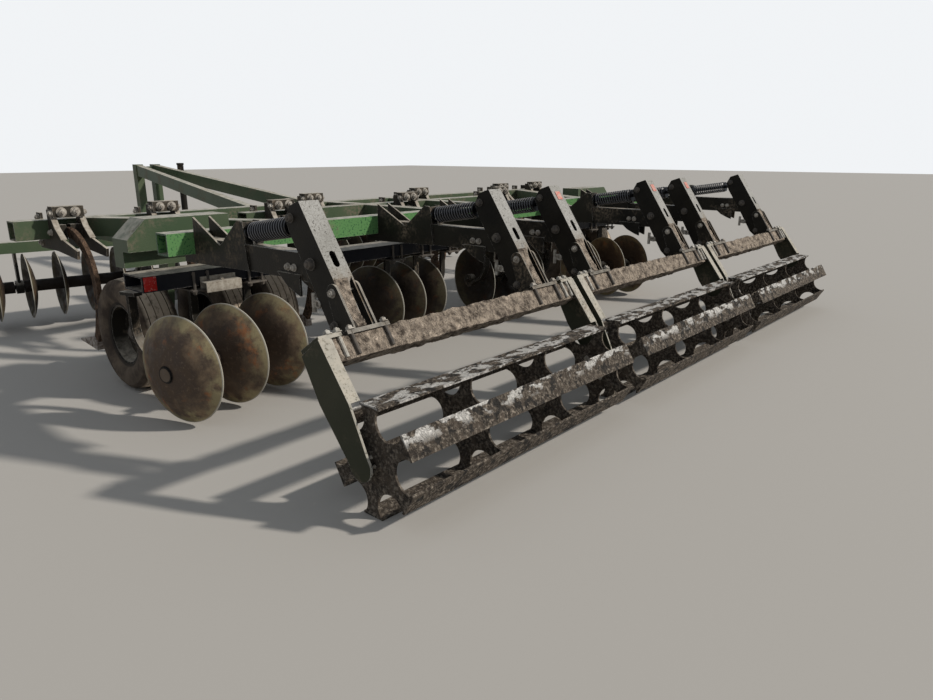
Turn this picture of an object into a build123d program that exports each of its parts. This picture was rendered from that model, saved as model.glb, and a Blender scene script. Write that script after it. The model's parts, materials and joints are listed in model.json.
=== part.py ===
import os
from math import cos, radians, sin, sqrt

from build123d import *

# A towed disc subsoiler: front disc gangs, shanks under a tube frame, wheels, rear disc gangs and
# a three-section bar roller on sprung arms. Millimetres, X to the right, Y to the front, Z up.
# The origin is on the ground at the middle of the machine's length and width.

# Driving dimensions of the whole machine
roller_axis_height = 270
hitch_reach = 9000              # from the roller's axis to the tip of the drawbar eye
section_pitch = 2110            # from one roller section to the next
section_count = 3

# Frame tubes
tube_size = 140
tube_wall = 10
frame_top = 1120
rear_beam_reach = 1800          # roller's axis to the beam's middle
front_beam_reach = 3640
middle_beam_reach = 3070
rear_beam_half = 3055
rear_beam_size = 130
rear_beam_top = 1150
front_beam_half = 3290
middle_beam_half = 1760
diagonal_front_x = 2735         # where the outer diagonal tubes meet the front beam
diagonal_rear_x = 1686
inner_rail_x = 420

# Roller bars and their star plates
bar_count = 6
bar_width = 125
bar_thickness = 12
roller_half = 960
star_thickness = 12
star_inner_places = (-320, 320)
star_scallop_circle = 238       # scallop centres, between the bars
star_scallop_radius = 84
star_eye_radius = 60            # opening in the middle of an inner star
end_ring_radius = 62
end_ring_thickness = 18
stub_radius = 22
stub_in = 60                    # how far the hanger's stub reaches into the roller

# Roller hangers and bearings
hanger_x = 1020                 # from the section's middle
hanger_thickness = 12
hanger_foot_radius = 72
hanger_flange = 60
bearing_size = 150
bearing_thickness = 25
bearing_corner = 28
running_gap = 0.05

# Crossbars and the leaning arms
arm_lean = 34                   # degrees from upright, top to the front
crossbar_size = 110
crossbar_wall = 8
crossbar_half = 1005
seat_reach = 313                # middle of the crossbar's upper face
seat_height = 756
arm_x = 722                     # from the section's middle
arm_width = 120
arm_plate = 10
arm_foot = 20
arm_head = 714
arm_rear = -49                  # rear face, measured from the crossbar's middle
arm_front = 115
slot_width = 36
slot_length = 88
slot_height = 390
pivot_out = 53
pivot_up = 425
pivot_radius = 16
yoke_plate = 12
yoke_pin_up = 230
yoke_pin_out = -16
yoke_round = 44
yoke_pin_radius = 12
flange_thickness = 20
flange_half = 130
flange_depth = 170

# Arm beams, their notched brackets and the springs
arm_beam_width = 90
arm_beam_tail = 570             # from the roller's axis
gusset_plate = 12
gusset_outline = [(900, 1010), (820, 947), (750, 915), (705, 900), (705, 1010)]
bracket_plate = 12
bracket_peak = 1245             # height of the rear peak
bracket_top = 1250              # reach of the peak's front corner
bracket_notch = (1446, 1093)
bracket_nose = (1731, 1237)
bracket_low = 965               # lower edge where the bracket runs under the rear beam
spring_radius = 58
spring_groove = 12              # depth between two coils
spring_turns = 13
spring_cap = 12
spring_seat = 12                # thickness of the seat plate
spring_seat_height = 120
spring_tail = (815, 1239)       # reach and height of the rear end on its axis
spring_nose = (1186, 1182)

# Wheels
tyre_radius = 390
tyre_width = 280
rim_radius = 205
wheel_reach = 2640
leg_width = 50
leg_depth = 140
axle_radius = 30
hub_radius = 75
carrier_reach = 2475
carrier_depth = 220
carrier_bottom = 870
carrier_outer_x = -3015
carrier_inner_x = -1960
carrier_hump = (-2882, -2290)
carrier_top = 1187
carrier_edge = 1060             # top of the carrier's outer end
carrier_frame_depth = 135       # the leg frame below the box, set back from its rear face

# name: leg's x and the x of each wheel on its axle. The left legs; the right ones mirror them.
wheel_legs = {
    "outer": (-2700, (-2895,)),
    "inner": (-2120, (-2302, -1938)),
}

# Rear toolbar under the rear beam
toolbar_reach = 2142
toolbar_depth = 250
toolbar_height = 100
toolbar_top = 875
toolbar_half = 3105
toolbar_post_places = (-1856, -420, 420, 1856)     # under the diagonals and the inner rails
toolbar_post_width = 120
toolbar_post_depth = 160

# Discs
front_disc_radius = 305
rear_disc_radius = 333
front_disc_dish = 0.22          # depth of the dish over its radius
rear_disc_dish = 0.34
disc_thickness = 6
spool_radius = 55
spool_length = 90
shaft_radius = 20
shaft_over = 60
cap_radius = 48                 # washer outside the first disc
cap_thickness = 10
housing_radius = 62
housing_width = 60
gang_hanger_width = 24
gang_hanger_depth = 90
standard_width = 60             # the curved standards of the rear gangs
standard_thickness = 22
standard_bend = 220             # largest radius of their bend
standard_place = 165            # behind each disc, along the shaft
standard_hold = 65              # half the length held under the toolbar

# name: mirrored to the right or not, first disc's x and reach from the roller's axis, height,
# turn in degrees, discs, spacing
rear_gangs = {
    "rear_outer_left": (False, -3177, 1684, 345, 14.7, 3, 383),
    "rear_inner_left": (False, -1188, 2235, 345, 11, 3, 335),
    "rear_inner_right": (True, -1188, 2235, 345, 11, 3, 335),
    "rear_outer_right": (True, -2505, 1705, 345, 15, 3, 360),
}
# First disc's x and reach, height, turn, discs, spacing, gaps that hold a hanger
front_gang = (-3255, 5270, 385, -10, 12, 262, (1, 5, 9))

# Front gang beams and the rails that carry them
gang_beam_size = 100
gang_wall = 8
gang_beam_short = 160           # the beam stops this far before the last disc
gang_beam_top = 805
gang_rail_places = (-2200, -1150)
gang_rail_width = 100
gang_rail_nose = 5350

# Shanks
shank_pitch = 739
front_shanks = (-4, -3, -1, 1, 3, 4)
rear_shanks = (-2, 0, 2)
shank_thickness = 32
shank_width = 70
shank_top_radius = 385
shank_low_radius = 750
shank_low_turn = 32
shank_head_height = 1030
shank_head_out = 70             # from the beam's rear face
point_width = 60
point_length = 240              # ahead of the shank's end
point_tip_height = 198
point_tip_thickness = 12
point_heel = 60                 # depth below the shank's end
holder_half = 108
holder_plate = 18
# The cheek's outline: from the beam's rear face, and height
holder_outline = [(0, 1195), (-60, 1195), (-140, 1070), (-240, 990), (-485, 930), (-470, 870),
                  (-120, 900)]
holder_strap_depth = 80         # ahead of the beam
holder_strap_top = 1165
holder_strap_bottom = 900
holder_block_depth = 90
holder_block_height = 80
holder_block_out = 80           # the block's middle from the beam's rear face
holder_block_z = 1180

# Drawbar
rail_width = 90
rail_height = 150
drawbar_rear = (567, 3600, 826)     # half spread, reach and top at the frame
drawbar_front = (130, hitch_reach - 510, 1418)     # the same at the head posts
lug_plate = 16
lug_gap = 0.3
lug_block = 140                 # length of the square end that the lugs hold
lug_pin_radius = 20
post_size = 110
post_bottom = 430
post_top = 1430
tongue_width = 120
tongue_thickness = 50
tongue_height = 520
eye_radius = 80
eye_bore = 26

# Parking jack
jack_x = 330
jack_reach = hitch_reach - 850
jack_outer = 45
jack_inner = 38
jack_bottom = 420
jack_top = 1420
jack_clamp_height = 1300
jack_clamp_depth = 90
jack_foot_radius = 110
jack_foot_thickness = 14

# Worked out from the above
turn = 360 / bar_count
roller_tail = roller_axis_height * sin(radians(turn)) + bar_width / 2 * cos(radians(turn))
y0 = -(hitch_reach - roller_tail) / 2       # the roller's axis in the machine's own frame
beam_z = frame_top - tube_size / 2
section_places = [
    (i - (section_count - 1) / 2) * section_pitch for i in range(section_count)
]
arm_places = [x + side * arm_x for x in section_places for side in (-1, 1)]
lean = radians(arm_lean)

os.makedirs("parts", exist_ok=True)


def save(part, name):
    part.label = name
    export_step(part, f"parts/{name}.step")


def square_tube(start, end, width, height, wall):
    """A box tube from start to end, its sides upright."""
    direction = Vector(*end) - Vector(*start)
    across = Vector(direction.Y, -direction.X, 0)
    with BuildPart() as tube:
        with BuildSketch(Plane(origin=start, x_dir=across, z_dir=direction)):
            Rectangle(width, height)
            Rectangle(width - 2 * wall, height - 2 * wall, mode=Mode.SUBTRACT)
        extrude(amount=direction.length)
    return tube.part


def side_plate(x, thickness, outline):
    """A plate across X, its outline given as (reach from the roller's axis, height)."""
    with BuildPart() as plate:
        with BuildSketch(Plane.YZ.offset(x - thickness / 2)):
            with BuildLine():
                Polyline([(y0 + reach, z) for reach, z in outline], close=True)
            make_face()
        extrude(amount=thickness)
    return plate.part


# Frame beams
beams = {
    "rear_beam": (rear_beam_reach, rear_beam_half, rear_beam_size, rear_beam_top),
    "middle_beam": (middle_beam_reach, middle_beam_half, tube_size, frame_top),
    "front_beam": (front_beam_reach, front_beam_half, tube_size, frame_top),
}
for name, (reach, half, size, top) in beams.items():
    with BuildPart() as beam:
        add(square_tube((-half, y0 + reach, top - size / 2), (half, y0 + reach, top - size / 2),
                        size, size, tube_wall))
    save(beam.part, name)

# Diagonal tubes between the front and the rear beam, trimmed flush with both
front_face = y0 + front_beam_reach - tube_size / 2
rear_face = y0 + rear_beam_reach + rear_beam_size / 2
slope = (diagonal_front_x - diagonal_rear_x) / (front_face - rear_face)
over = tube_size
with BuildPart() as diagonals:
    add(square_tube((-diagonal_rear_x + slope * over, rear_face - over, beam_z),
                    (-diagonal_front_x - slope * over, front_face + over, beam_z),
                    tube_size, tube_size, tube_wall))
    split(bisect_by=Plane(origin=(0, rear_face, 0), z_dir=(0, 1, 0)), keep=Keep.TOP)
    split(bisect_by=Plane(origin=(0, front_face, 0), z_dir=(0, 1, 0)), keep=Keep.BOTTOM)
    mirror(about=Plane.YZ)
save(diagonals.part, "diagonals")

# Inner rails, in two lengths each side, broken by the middle beam
middle_rear = y0 + middle_beam_reach - tube_size / 2
middle_front = y0 + middle_beam_reach + tube_size / 2
with BuildPart() as rails:
    for low, high in ((rear_face, middle_rear), (middle_front, front_face)):
        for x in (-inner_rail_x, inner_rail_x):
            add(square_tube((x, low, beam_z), (x, high, beam_z),
                            tube_size, tube_size, tube_wall))
save(rails.part, "inner_rails")

# Drawbar rails, rising to the head posts
spread, reach, top = drawbar_rear
start = Vector(-spread, y0 + reach, top - rail_height / 2)
spread, reach, top = drawbar_front
end = Vector(-spread, y0 + reach, top - rail_height / 2)
step = (end - start).normalized() * 200
lug_y = start.Y + 50
lug_z = start.Z
with BuildPart() as drawbar_left:
    add(square_tube(start, end + step, rail_width, rail_height, tube_wall))
    split(bisect_by=Plane(origin=(0, end.Y, 0), z_dir=(0, 1, 0)), keep=Keep.BOTTOM)
    split(bisect_by=Plane(origin=(0, lug_y + lug_block / 2, 0), z_dir=(0, 1, 0)),
          keep=Keep.TOP)
    with Locations((start.X, lug_y, lug_z)):
        Box(rail_width, lug_block, rail_height)
    with Locations(Location((start.X, lug_y, lug_z), (0, 90, 0))):
        Cylinder(lug_pin_radius, 4 * rail_width, mode=Mode.SUBTRACT)
save(drawbar_left.part, "drawbar_left")
with BuildPart() as drawbar_right:
    mirror(drawbar_left.part, about=Plane.YZ)
save(drawbar_right.part, "drawbar_right")

# Lugs under the front beam, with the pins that hold the drawbar
lug_top = frame_top - tube_size
with BuildPart() as lugs:
    for side in (-1, 1):
        x = start.X + side * (rail_width / 2 + lug_gap + lug_plate / 2)
        with BuildSketch(Plane.YZ.offset(x - lug_plate / 2)):
            with BuildLine():
                Polyline((lug_y - 60, lug_z - 60), (lug_y + 60, lug_z - 60),
                         (front_face + tube_size, lug_top), (front_face, lug_top),
                         close=True)
            make_face()
        extrude(amount=lug_plate)
    with Locations(Location((start.X, lug_y, lug_z), (0, 90, 0))):
        Cylinder(lug_pin_radius - running_gap, rail_width + 4 * lug_plate)
    mirror(about=Plane.YZ)
save(lugs.part, "drawbar_lugs")

# Head posts, the plates that join them and the tongue with its eye
with BuildPart() as head:
    with Locations((0, end.Y + post_size / 2, (post_bottom + post_top) / 2)):
        with GridLocations(2 * drawbar_front[0], 0, 2, 1):
            Box(post_size, post_size, post_top - post_bottom)
    with Locations((0, end.Y + post_size / 2, post_top - 90)):
        Box(2 * drawbar_front[0], 60, 120)
    with Locations((0, end.Y + post_size / 2, tongue_height)):
        Box(2 * drawbar_front[0], post_size, 180)
save(head.part, "drawbar_head")

tongue_root = end.Y + post_size
eye_y = y0 + hitch_reach - eye_radius
with BuildPart() as tongue:
    with BuildSketch(Plane.XY.offset(tongue_height - tongue_thickness / 2)):
        with Locations((0, (tongue_root + eye_y) / 2)):
            Rectangle(tongue_width, eye_y - tongue_root)
        with Locations((0, eye_y)):
            Circle(eye_radius)
            Circle(eye_bore, mode=Mode.SUBTRACT)
    extrude(amount=tongue_thickness)
save(tongue.part, "drawbar_eye")

# Parking jack: tube clamped to the right rail, leg and foot sliding in it
splay = (end.X - start.X) / (end.Y - start.Y)
rail_x = -start.X - splay * (jack_reach - drawbar_rear[1])
with BuildPart() as jack_tube:
    with Locations((jack_x, y0 + jack_reach, (jack_bottom + jack_top) / 2)):
        Cylinder(jack_outer, jack_top - jack_bottom)
        Cylinder(jack_inner, jack_top - jack_bottom, mode=Mode.SUBTRACT)
    with Locations((jack_x, y0 + jack_reach, jack_top + 15)):
        Cylinder(jack_outer + 6, 30)
    rail_side = (rail_x + rail_width / 2 * sqrt(1 + splay**2) + splay * jack_clamp_depth / 2
                 + lug_gap)
    with Locations(((rail_side + jack_x) / 2, y0 + jack_reach, jack_clamp_height)):
        Box(jack_x - rail_side, jack_clamp_depth, 120)
    with Locations((jack_x, y0 + jack_reach, jack_clamp_height)):
        Cylinder(jack_inner, 200, mode=Mode.SUBTRACT)
save(jack_tube.part, "jack_tube")
with BuildPart() as jack_leg:
    with BuildSketch(Plane.XY):
        with Locations((jack_x, y0 + jack_reach)):
            Circle(jack_foot_radius)
    extrude(amount=jack_foot_thickness)
    with BuildSketch(Plane.XY):
        with Locations((jack_x, y0 + jack_reach)):
            Circle(jack_inner - running_gap)
    extrude(amount=jack_bottom + 280)
save(jack_leg.part, "jack_leg")

# Toolbar ahead of the rear beam and the posts that hang it
toolbar_z = toolbar_top - toolbar_height / 2
with BuildPart() as toolbar:
    add(square_tube((-toolbar_half, y0 + toolbar_reach, toolbar_z),
                    (toolbar_half, y0 + toolbar_reach, toolbar_z),
                    toolbar_depth, toolbar_height, tube_wall))
save(toolbar.part, "toolbar")
with BuildPart() as toolbar_posts:
    post_height = frame_top - tube_size - toolbar_top
    for x in toolbar_post_places:
        with Locations((x, y0 + toolbar_reach, toolbar_top + post_height / 2)):
            Box(toolbar_post_width, toolbar_post_depth, post_height)
save(toolbar_posts.part, "toolbar_posts")

# Wheel carriers: a deep box over the wheels, the leg frame below it and a leg to each axle
carrier_front = carrier_reach + carrier_depth / 2
hump_out, hump_in = carrier_hump
carrier_low = frame_top - tube_size
box_outline = [(carrier_outer_x, carrier_low), (carrier_outer_x, carrier_edge),
               (hump_out, carrier_top), (hump_in, carrier_top), (hump_in, carrier_low)]
leg_frame_outline = [(carrier_outer_x, carrier_bottom), (carrier_inner_x, carrier_bottom),
                     (carrier_inner_x, carrier_low), (carrier_outer_x, carrier_low)]
with BuildPart() as carriers:
    for depth, outline in ((carrier_depth, box_outline),
                           (carrier_frame_depth, leg_frame_outline)):
        with BuildSketch(Plane.XZ.offset(-(y0 + carrier_front))):
            with BuildLine():
                Polyline(outline, close=True)
            make_face()
        extrude(amount=depth)
    for leg_x, _ in wheel_legs.values():
        add(side_plate(leg_x, leg_width, [
            (carrier_front - carrier_frame_depth, carrier_bottom),
            (wheel_reach - leg_depth / 2, tyre_radius),
            (wheel_reach + leg_depth / 2, tyre_radius), (carrier_front, carrier_bottom)]))
        with Locations(Location((leg_x, y0 + wheel_reach, tyre_radius), (0, 90, 0))):
            Cylinder(leg_depth / 2, leg_width)
            Cylinder(axle_radius, 2 * leg_width, mode=Mode.SUBTRACT)
    mirror(about=Plane.YZ)
save(carriers.part, "wheel_carriers")

# Wheels on each leg's axle
wheel_groups = {f"{side_name}_{name}": (side * leg_x, [side * x for x in places])
                for side_name, side in (("left", 1), ("right", -1))
                for name, (leg_x, places) in wheel_legs.items()}
for name, (leg_x, places) in wheel_groups.items():
    wheel_plane = Plane(origin=(0, y0 + wheel_reach, tyre_radius), x_dir=(1, 0, 0),
                        z_dir=(0, -1, 0))
    wheel_axis = Axis((0, y0 + wheel_reach, tyre_radius), (1, 0, 0))
    crown = 40
    wall_out = tyre_width / 2
    with BuildPart() as tyres:
        for middle in places:
            with BuildSketch(wheel_plane):
                with BuildLine():
                    Polyline((middle - wall_out + crown, rim_radius + 2),
                             (middle - wall_out, rim_radius + 50),
                             (middle - wall_out, tyre_radius - 1.6 * crown),
                             (middle - wall_out + crown, tyre_radius - 8),
                             (middle, tyre_radius),
                             (middle + wall_out - crown, tyre_radius - 8),
                             (middle + wall_out, tyre_radius - 1.6 * crown),
                             (middle + wall_out, rim_radius + 50),
                             (middle + wall_out - crown, rim_radius + 2), close=True)
                make_face()
            revolve(axis=wheel_axis)
    save(tyres.part, f"tyres_{name}")
    with BuildPart() as rims:
        for middle in places:
            with BuildSketch(wheel_plane):
                with BuildLine():
                    Polyline((middle - 105, rim_radius + 2), (middle - 105, rim_radius - 10),
                             (middle - 12, rim_radius - 22), (middle - 12, hub_radius),
                             (middle - 40, hub_radius), (middle - 40, axle_radius - 5),
                             (middle + 40, axle_radius - 5), (middle + 40, hub_radius),
                             (middle, hub_radius), (middle, rim_radius - 22),
                             (middle + 105, rim_radius - 10), (middle + 105, rim_radius + 2),
                             close=True)
                make_face()
            revolve(axis=wheel_axis)
        ends = sorted((*places, leg_x))
        low_end, high_end = ends[0] - 45, ends[-1] + 45
        with Locations(Location(((low_end + high_end) / 2, y0 + wheel_reach, tyre_radius),
                                (0, 90, 0))):
            Cylinder(axle_radius - running_gap, high_end - low_end)
    save(rims.part, f"wheels_{name}")


def disc_gang(plane, count, spacing, dish_side, dish_ratio, radius, over, held):
    """Dished discs on one shaft, which lies along the plane's x and starts at disc one.

    Spools fill the gaps between discs, but for the gaps held by a bearing.
    """
    axis = Axis(plane.origin, plane.x_dir)
    depth = dish_ratio * radius
    ball = (radius**2 + depth**2) / (2 * depth)

    def dish(place):
        return dish_side * (ball - sqrt(ball**2 - place**2))

    def along_shaft(place):
        return Plane(origin=plane.from_local_coords((place, 0, 0)), z_dir=plane.x_dir)

    with BuildPart() as gang:
        for i in range(count):
            s = i * spacing
            face = s + disc_thickness
            with BuildSketch(plane):
                with BuildLine():
                    middle = radius / 2
                    Line((s, 0), (face, 0))
                    ThreePointArc((face, 0), (face + dish(middle), middle),
                                  (face + dish(radius), radius))
                    Line((face + dish(radius), radius), (s + dish(radius), radius))
                    ThreePointArc((s + dish(radius), radius), (s + dish(middle), middle), (s, 0))
                make_face()
            revolve(axis=axis)
        with BuildSketch(along_shaft(0)):
            Circle(shaft_radius)
        extrude(amount=(count - 1) * spacing + over)
        with BuildSketch(along_shaft(-cap_thickness)):
            Circle(cap_radius)
        extrude(amount=cap_thickness + disc_thickness)
        for i in range(count - 1):
            ends = ((0, spool_length), (spacing - spool_length, spool_length))
            for place, length in ends if i in held else ((0, spacing),):
                with BuildSketch(along_shaft(i * spacing + place)):
                    Circle(spool_radius)
                extrude(amount=length)
    return gang.part


def gang_plane(x, reach, height, angle):
    """Upright plane through a gang's shaft, x along the shaft to the machine's middle."""
    along = (cos(radians(angle)), sin(radians(angle)), 0)
    across = (sin(radians(angle)), -cos(radians(angle)), 0)
    return Plane(origin=(x, y0 + reach, height), x_dir=along, z_dir=across)


def standard_at(plane, place):
    """A flat bar from under the toolbar down and round to a bearing housing on the shaft."""
    hub = Vector(*plane.from_local_coords((place, 0, 0)))
    across = -plane.z_dir
    ahead = (y0 + toolbar_reach - hub.Y) / across.Y
    high = toolbar_top - toolbar_height - hub.Z
    half = standard_thickness / 2
    side = 1 if ahead > 0 else -1
    bend = min(abs(ahead), standard_bend)
    turn_at = ahead - side * bend
    quarter = radians(45)

    def arc(radius, angle):
        return turn_at + side * radius * sin(angle), bend - radius * cos(angle)

    outer, inner = bend + half, bend - half
    with BuildPart() as standard:
        with BuildSketch(Plane(origin=hub - plane.x_dir * (standard_width / 2), x_dir=across,
                               z_dir=plane.x_dir)):
            with BuildLine():
                Line((0, -half), arc(outer, 0)) if abs(turn_at) > 1 else None
                ThreePointArc(arc(outer, 0), arc(outer, quarter), arc(outer, 2 * quarter))
                Line(arc(outer, 2 * quarter), (ahead + side * half, high))
                Line((ahead + side * half, high), (ahead - side * half, high))
                Line((ahead - side * half, high), arc(inner, 2 * quarter))
                ThreePointArc(arc(inner, 2 * quarter), arc(inner, quarter), arc(inner, 0))
                Line(arc(inner, 0), (0, half)) if abs(turn_at) > 1 else None
                Line((0, half), (0, -half))
            make_face()
            with Locations((ahead, high - half)):
                Rectangle(2 * standard_hold, standard_thickness)
        extrude(amount=standard_width)
        with BuildSketch(Plane(origin=hub - plane.x_dir * (housing_width / 2),
                               z_dir=plane.x_dir)):
            Circle(housing_radius)
        extrude(amount=housing_width)
        with BuildSketch(Plane(origin=hub - plane.x_dir * housing_width, z_dir=plane.x_dir)):
            Circle(shaft_radius + running_gap)
        extrude(amount=2 * housing_width, mode=Mode.SUBTRACT)
    return standard.part


# Rear gangs and the standards that hang them, one behind each disc
with BuildPart() as standards:
    for name, (mirrored, *place, count, spacing) in rear_gangs.items():
        plane = gang_plane(*place)
        gang = disc_gang(plane, count, spacing, 1, rear_disc_dish, rear_disc_radius,
                         standard_place + shaft_over, range(count))
        held = [standard_at(plane, i * spacing + standard_place) for i in range(count)]
        if mirrored:
            gang = mirror(gang, about=Plane.YZ, mode=Mode.PRIVATE)
            held = [mirror(one, about=Plane.YZ, mode=Mode.PRIVATE) for one in held]
        save(gang, f"{name}_gang")
        add(held)
save(standards.part, "rear_standards")

# Front gang beams with their bearings, and the rails that carry them
*place, count, spacing, gaps = front_gang
plane = gang_plane(*place)
left = disc_gang(plane, count, spacing, -1, front_disc_dish, front_disc_radius, shaft_over, gaps)
save(left, "front_left_gang")
with BuildPart() as right:
    mirror(left, about=Plane.YZ)
save(right.part, "front_right_gang")
beam_start = Vector(*plane.from_local_coords((0, 0, 0)))
beam_end = Vector(*plane.from_local_coords(((count - 1) * spacing - gang_beam_short, 0, 0)))
gang_beam_z = gang_beam_top - gang_beam_size / 2
with BuildPart() as gang_beams:
    add(square_tube((beam_start.X, beam_start.Y, gang_beam_z),
                    (beam_end.X, beam_end.Y, gang_beam_z),
                    gang_beam_size, gang_beam_size, gang_wall))
    mirror(about=Plane.YZ)
save(gang_beams.part, "front_gang_beams")
with BuildPart() as front_hangers:
    for gap in gaps:
        hub = Vector(*plane.from_local_coords(((gap + 0.5) * spacing, 0, 0)))
        with BuildSketch(Plane(origin=hub - plane.x_dir * (gang_hanger_width / 2),
                               x_dir=-plane.z_dir, z_dir=plane.x_dir)):
            with Locations((0, (gang_beam_top - gang_beam_size - hub.Z) / 2)):
                Rectangle(gang_hanger_depth, gang_beam_top - gang_beam_size - hub.Z)
            Circle(housing_radius)
        extrude(amount=gang_hanger_width)
        with BuildSketch(Plane(origin=hub - plane.x_dir * (housing_width / 2),
                               z_dir=plane.x_dir)):
            Circle(housing_radius)
        extrude(amount=housing_width)
        with BuildSketch(Plane(origin=hub - plane.x_dir * housing_width, z_dir=plane.x_dir)):
            Circle(shaft_radius + running_gap)
        extrude(amount=2 * housing_width, mode=Mode.SUBTRACT)
    mirror(about=Plane.YZ)
save(front_hangers.part, "front_hangers")
with BuildPart() as gang_rails:
    rail_depth = frame_top - tube_size - gang_beam_top
    for x in gang_rail_places:
        add(square_tube((x, front_face, gang_beam_top + rail_depth / 2),
                        (x, y0 + gang_rail_nose, gang_beam_top + rail_depth / 2),
                        gang_rail_width, rail_depth, gang_wall))
    mirror(about=Plane.YZ)
save(gang_rails.part, "gang_rails")


def shank_at(x, face):
    """One curved shank: back over a short arc, then forward and down along a long one."""
    half = shank_width / 2
    head_y = face - shank_head_out
    low_y = head_y - shank_top_radius + shank_low_radius
    low_z = shank_head_height - shank_top_radius
    last = radians(shank_low_turn)

    def top(radius, angle):
        return head_y - radius * sin(angle), low_z + radius * cos(angle)

    def low(radius, angle):
        return low_y - radius * cos(angle), low_z - radius * sin(angle)

    right_angle = radians(90)
    outer, inner = shank_top_radius + half, shank_top_radius - half
    far, near = shank_low_radius + half, shank_low_radius - half
    with BuildPart() as shank:
        with BuildSketch(Plane.YZ.offset(x - shank_thickness / 2)):
            with BuildLine():
                ThreePointArc(top(outer, 0), top(outer, right_angle / 2), top(outer, right_angle))
                ThreePointArc(low(far, 0), low(far, last / 2), low(far, last))
                Line(low(far, last), low(near, last))
                ThreePointArc(low(near, last), low(near, last / 2), low(near, 0))
                ThreePointArc(top(inner, right_angle), top(inner, right_angle / 2), top(inner, 0))
                Line(top(inner, 0), top(outer, 0))
            make_face()
        extrude(amount=shank_thickness)
    return shank.part


def point_at(x, face):
    """The wedge on the shank's end."""
    last = radians(shank_low_turn)
    low_y = face - shank_head_out - shank_top_radius + shank_low_radius
    low_z = shank_head_height - shank_top_radius
    tip_y = low_y - shank_low_radius * cos(last)
    tip_z = low_z - shank_low_radius * sin(last)
    half = shank_width / 2
    heel = (tip_y + half * cos(last), tip_z + half * sin(last))
    back = (tip_y - half * cos(last), tip_z - half * sin(last))
    with BuildPart() as point:
        with BuildSketch(Plane.YZ.offset(x - point_width / 2)):
            with BuildLine():
                Polyline(back, heel,
                         (heel[0] + point_length, point_tip_height + point_tip_thickness),
                         (heel[0] + point_length, point_tip_height),
                         (back[0], back[1] - point_heel), close=True)
            make_face()
        extrude(amount=point_width)
    return point.part


def holder_at(x, face):
    """Two cheeks under and behind the beam, a head block and the spacers beside the shank."""
    inner = shank_thickness / 2
    strap = [(tube_size + holder_strap_depth, holder_strap_bottom),
             (tube_size + holder_strap_depth, holder_strap_top), (tube_size, holder_strap_top),
             (tube_size, frame_top - tube_size), (0, frame_top - tube_size)]
    outline = [(face - y0 + reach, z) for reach, z in holder_outline + strap]
    with BuildPart() as holder:
        for side in (-1, 1):
            add(side_plate(x + side * (holder_half - holder_plate / 2), holder_plate, outline))
            width = holder_half - holder_plate - inner
            with Locations((x + side * (inner + width / 2), face - 45, shank_head_height)):
                Box(width, 80, 110)
        with Locations((x, face - holder_block_out, holder_block_z)):
            Box(2 * holder_half, holder_block_depth, holder_block_height)
    return holder.part


front_beam_face = y0 + front_beam_reach - tube_size / 2
middle_beam_face = y0 + middle_beam_reach - tube_size / 2
shank_rows = ((front_shanks, front_beam_face), (rear_shanks, middle_beam_face))
for piece, maker in (("shanks", shank_at), ("points", point_at), ("holders", holder_at)):
    with BuildPart() as group:
        for places, face in shank_rows:
            for place in places:
                add(maker(place * shank_pitch, face))
    save(group.part, piece)


def arm_plane(x):
    """Local x ahead and down across the arm, local y up along it, origin on the crossbar's top."""
    return Plane(origin=(x, y0 + seat_reach, seat_height), x_dir=(0, cos(lean), -sin(lean)),
                 z_dir=(1, 0, 0))


# Crossbars, one a section, leaning with the arms
with BuildPart() as crossbars:
    for x in section_places:
        with BuildSketch(arm_plane(x - crossbar_half)):
            with Locations((0, -crossbar_size / 2)):
                Rectangle(crossbar_size, crossbar_size)
                Rectangle(crossbar_size - 2 * crossbar_wall, crossbar_size - 2 * crossbar_wall,
                          mode=Mode.SUBTRACT)
        extrude(amount=2 * crossbar_half)
save(crossbars.part, "crossbars")

# Leaning arms: two side plates and a slotted rear plate
arm_outline = [(arm_rear, arm_foot), (arm_rear, arm_head), (32, arm_head + 22), (100, 700),
               (arm_front, 620), (arm_front, 360), (125, 120), (100, arm_foot + 10)]
edge = arm_width / 2
rear_outline = [(-edge, arm_head), (edge, arm_head), (edge, 300), (28, 262), (12, 215),
                (8, arm_foot), (-edge, arm_foot)]
with BuildPart() as arms:
    for x in arm_places:
        for side in (-1, 1):
            edge = x + side * (arm_width / 2 - arm_plate / 2) - arm_plate / 2
            with BuildSketch(arm_plane(edge)):
                with BuildLine():
                    Polyline(arm_outline, close=True)
                make_face()
                for out, up, radius in ((pivot_out, pivot_up, pivot_radius),
                                        (yoke_pin_out, yoke_pin_up, yoke_pin_radius)):
                    with Locations((out, up)):
                        Circle(radius, mode=Mode.SUBTRACT)
            extrude(amount=arm_plate)
        rear = Plane(origin=arm_plane(x).from_local_coords((arm_rear, 0, 0)),
                     x_dir=(1, 0, 0), z_dir=arm_plane(x).x_dir)
        with BuildSketch(rear):
            with BuildLine():
                Polyline([(out, -up) for out, up in rear_outline], close=True)
            make_face()
            with Locations((0, -slot_height)):
                SlotOverall(slot_length, slot_width, rotation=90, mode=Mode.SUBTRACT)
        extrude(amount=arm_plate)
save(arms.part, "arms")

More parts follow.
